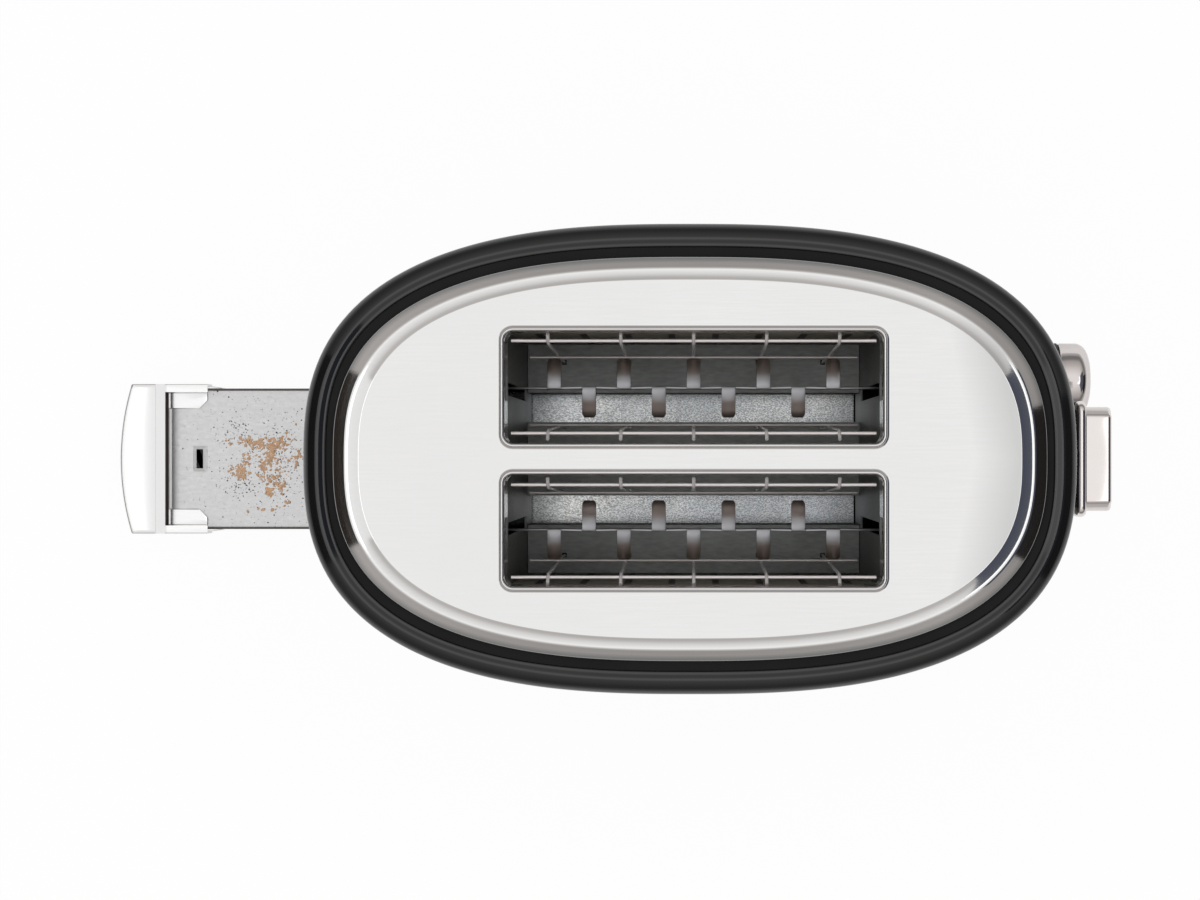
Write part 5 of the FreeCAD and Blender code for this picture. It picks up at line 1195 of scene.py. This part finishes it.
class TOASTER_OT_stage(bpy.types.Operator):
    """Adds the white floor, the soft lights and the camera above"""
    bl_idname = "toaster.stage"
    bl_label = "Stage"

    def execute(self, context):
        stage = context.scene.toaster_stage
        floor = added(bpy.ops.mesh.primitive_plane_add, "floor", size=6, location=(0, 0, 0))
        floor.data.materials.append(self.floor_finish())
        self.surround(context.scene, stage.world)
        lamp = added(bpy.ops.object.light_add, "Area", type="AREA", location=(-0.1, 0.0, 1.5))
        lamp.data.shape = "RECTANGLE"
        lamp.data.size, lamp.data.size_y = 1.7, 1.3
        lamp.data.energy = stage.overhead
        lamp.visible_glossy = False
        camera = added(bpy.ops.object.camera_add, "Camera", location=(0.0007, 0.00054, 1.192),
                       rotation=(0, 0, 0))
        camera.data.lens = 83.7
        camera.data.sensor_width = 36
        camera.data.shift_x = -0.0767
        camera.data.shift_y = 0.00625
        context.scene.camera = camera
        context.scene.view_settings.view_transform = "Standard"
        return {"FINISHED"}

    def emptied(self, owner):
        """The nodes of a material or a world, with none in it yet."""
        owner.use_nodes = True
        owner.node_tree.nodes.clear()
        return Nodes(owner.node_tree)

    def floor_finish(self):
        """White floor that shows the shadow, and is white to the eye of the camera."""
        material = bpy.data.materials.new("floor_white")
        nodes = self.emptied(material)
        rays = nodes.add("ShaderNodeLightPath").outputs
        mirrored = nodes.math("MAXIMUM", rays["Is Glossy Ray"], rays["Is Transmission Ray"])
        paper = nodes.add("ShaderNodeBsdfDiffuse", {"Color": (0.95, 0.95, 0.95, 1)}).outputs[0]
        bright = nodes.add("ShaderNodeEmission", {"Color": (1, 1, 1, 1), "Strength": 1.0}).outputs[0]
        share = nodes.math("MAXIMUM", nodes.math("MULTIPLY", rays["Is Camera Ray"], 0.95),
                           nodes.math("MULTIPLY", mirrored, 0.3))
        mixed = nodes.add("ShaderNodeMixShader", {0: share, 1: paper, 2: bright}).outputs[0]
        nodes.add("ShaderNodeOutputMaterial", {"Surface": mixed})
        return material

    def surround(self, scene, level):
        """Even light all round. Metal sees a ceiling that darkens downwards, with dark ends."""
        scene.world = bpy.data.worlds.new("surround")
        nodes = self.emptied(scene.world)
        rays = nodes.add("ShaderNodeLightPath").outputs
        way = nodes.add("ShaderNodeTexCoord").outputs["Generated"]
        x, y, z = nodes.add("ShaderNodeSeparateXYZ", {0: way}).outputs
        run = nodes.math("SQRT", nodes.math("ADD", nodes.math("MULTIPLY", x, x),
                                            nodes.math("MULTIPLY", y, y)))
        towards = nodes.math("DIVIDE", x, run)
        skewed = nodes.math("DIVIDE", nodes.math("SUBTRACT", nodes.math("MULTIPLY", x, 0.986),
                                                 nodes.math("MULTIPLY", y, 0.168)), run)
        dark, bright = 0.515, 0.535  # the heights between which the ends turn from dark to bright
        margin = nodes.math("SUBTRACT", skewed, nodes.spread(z, dark, bright, 0.934, 0.80))
        low = [(0.0, 0.5), (0.1, 0.45)]
        high = [(0.935, 2), (0.955, 2), (0.965, 1)]
        sides = nodes.ramp(z, low + [(0.22, 0.2), (0.38, 0.22), (0.5, 0.45, 0.425, 0.41),
                                     (0.71, 0.61, 0.595, 0.585), (0.866, 0.82, 0.81, 0.8), (0.978, 1)])
        left = nodes.ramp(z, low + [(0.18, 0.024, 0.02, 0.017), (dark, 0.024, 0.02, 0.017),
                                    (bright, 0.9), (0.925, 0.95)] + high)
        right = nodes.ramp(z, low + [(0.18, 0.02, 0.018, 0.017), (dark, 0.02, 0.018, 0.017),
                                     (bright, 0.085, 0.095, 0.135), (0.92, 0.12, 0.13, 0.16)] + high)
        mirrored = nodes.blend(nodes.spread(margin, -0.004, 0.004), sides, right)
        mirrored = nodes.blend(nodes.spread(towards, -0.904, -0.912), mirrored, left)
        seen = nodes.blend(rays["Is Glossy Ray"], (level, level, level, 1), mirrored)
        colour = nodes.blend(rays["Is Camera Ray"], seen, (1, 1, 1, 1))
        background = nodes.add("ShaderNodeBackground", {"Color": colour, "Strength": 1.0}).outputs[0]
        nodes.add("ShaderNodeOutputWorld", {"Surface": background})


class TOASTER_PT_pieces(bpy.types.Panel):
    """Lists what builds the toaster"""
    bl_idname = "TOASTER_PT_pieces"
    bl_label = "Toaster"
    bl_space_type = "VIEW_3D"
    bl_region_type = "UI"
    bl_category = "Toaster"

    def draw(self, context):
        for group in PROPERTY_GROUPS:
            values = getattr(context.scene, group)
            for name in values.__annotations__:
                self.layout.prop(values, name)
        for operator in OPERATORS:
            self.layout.operator(operator.bl_idname)


OPERATORS = (TOASTER_OT_finishes, TOASTER_OT_shell, TOASTER_OT_plate, TOASTER_OT_guards, TOASTER_OT_racks,
             TOASTER_OT_lever, TOASTER_OT_dial, TOASTER_OT_buttons, TOASTER_OT_spring, TOASTER_OT_tray,
             TOASTER_OT_stage)
PROPERTY_GROUPS = {"toaster_body": ToasterBodySizes, "toaster_slots": ToasterSlotSizes,
                   "toaster_colours": ToasterColours, "toaster_stage": ToasterStage}


def register():
    for name, group in PROPERTY_GROUPS.items():
        bpy.utils.register_class(group)
        setattr(bpy.types.Scene, name, bpy.props.PointerProperty(type=group))
    for item in (*OPERATORS, TOASTER_PT_pieces):
        bpy.utils.register_class(item)


def unregister():
    for item in (TOASTER_PT_pieces, *reversed(OPERATORS)):
        bpy.utils.unregister_class(item)
    for name, group in PROPERTY_GROUPS.items():
        delattr(bpy.types.Scene, name)
        bpy.utils.unregister_class(group)


def main():
    register()
    for operator in OPERATORS:
        group, name = operator.bl_idname.split(".")
        getattr(getattr(bpy.ops, group), name)()


if __name__ == "__main__":
    main()
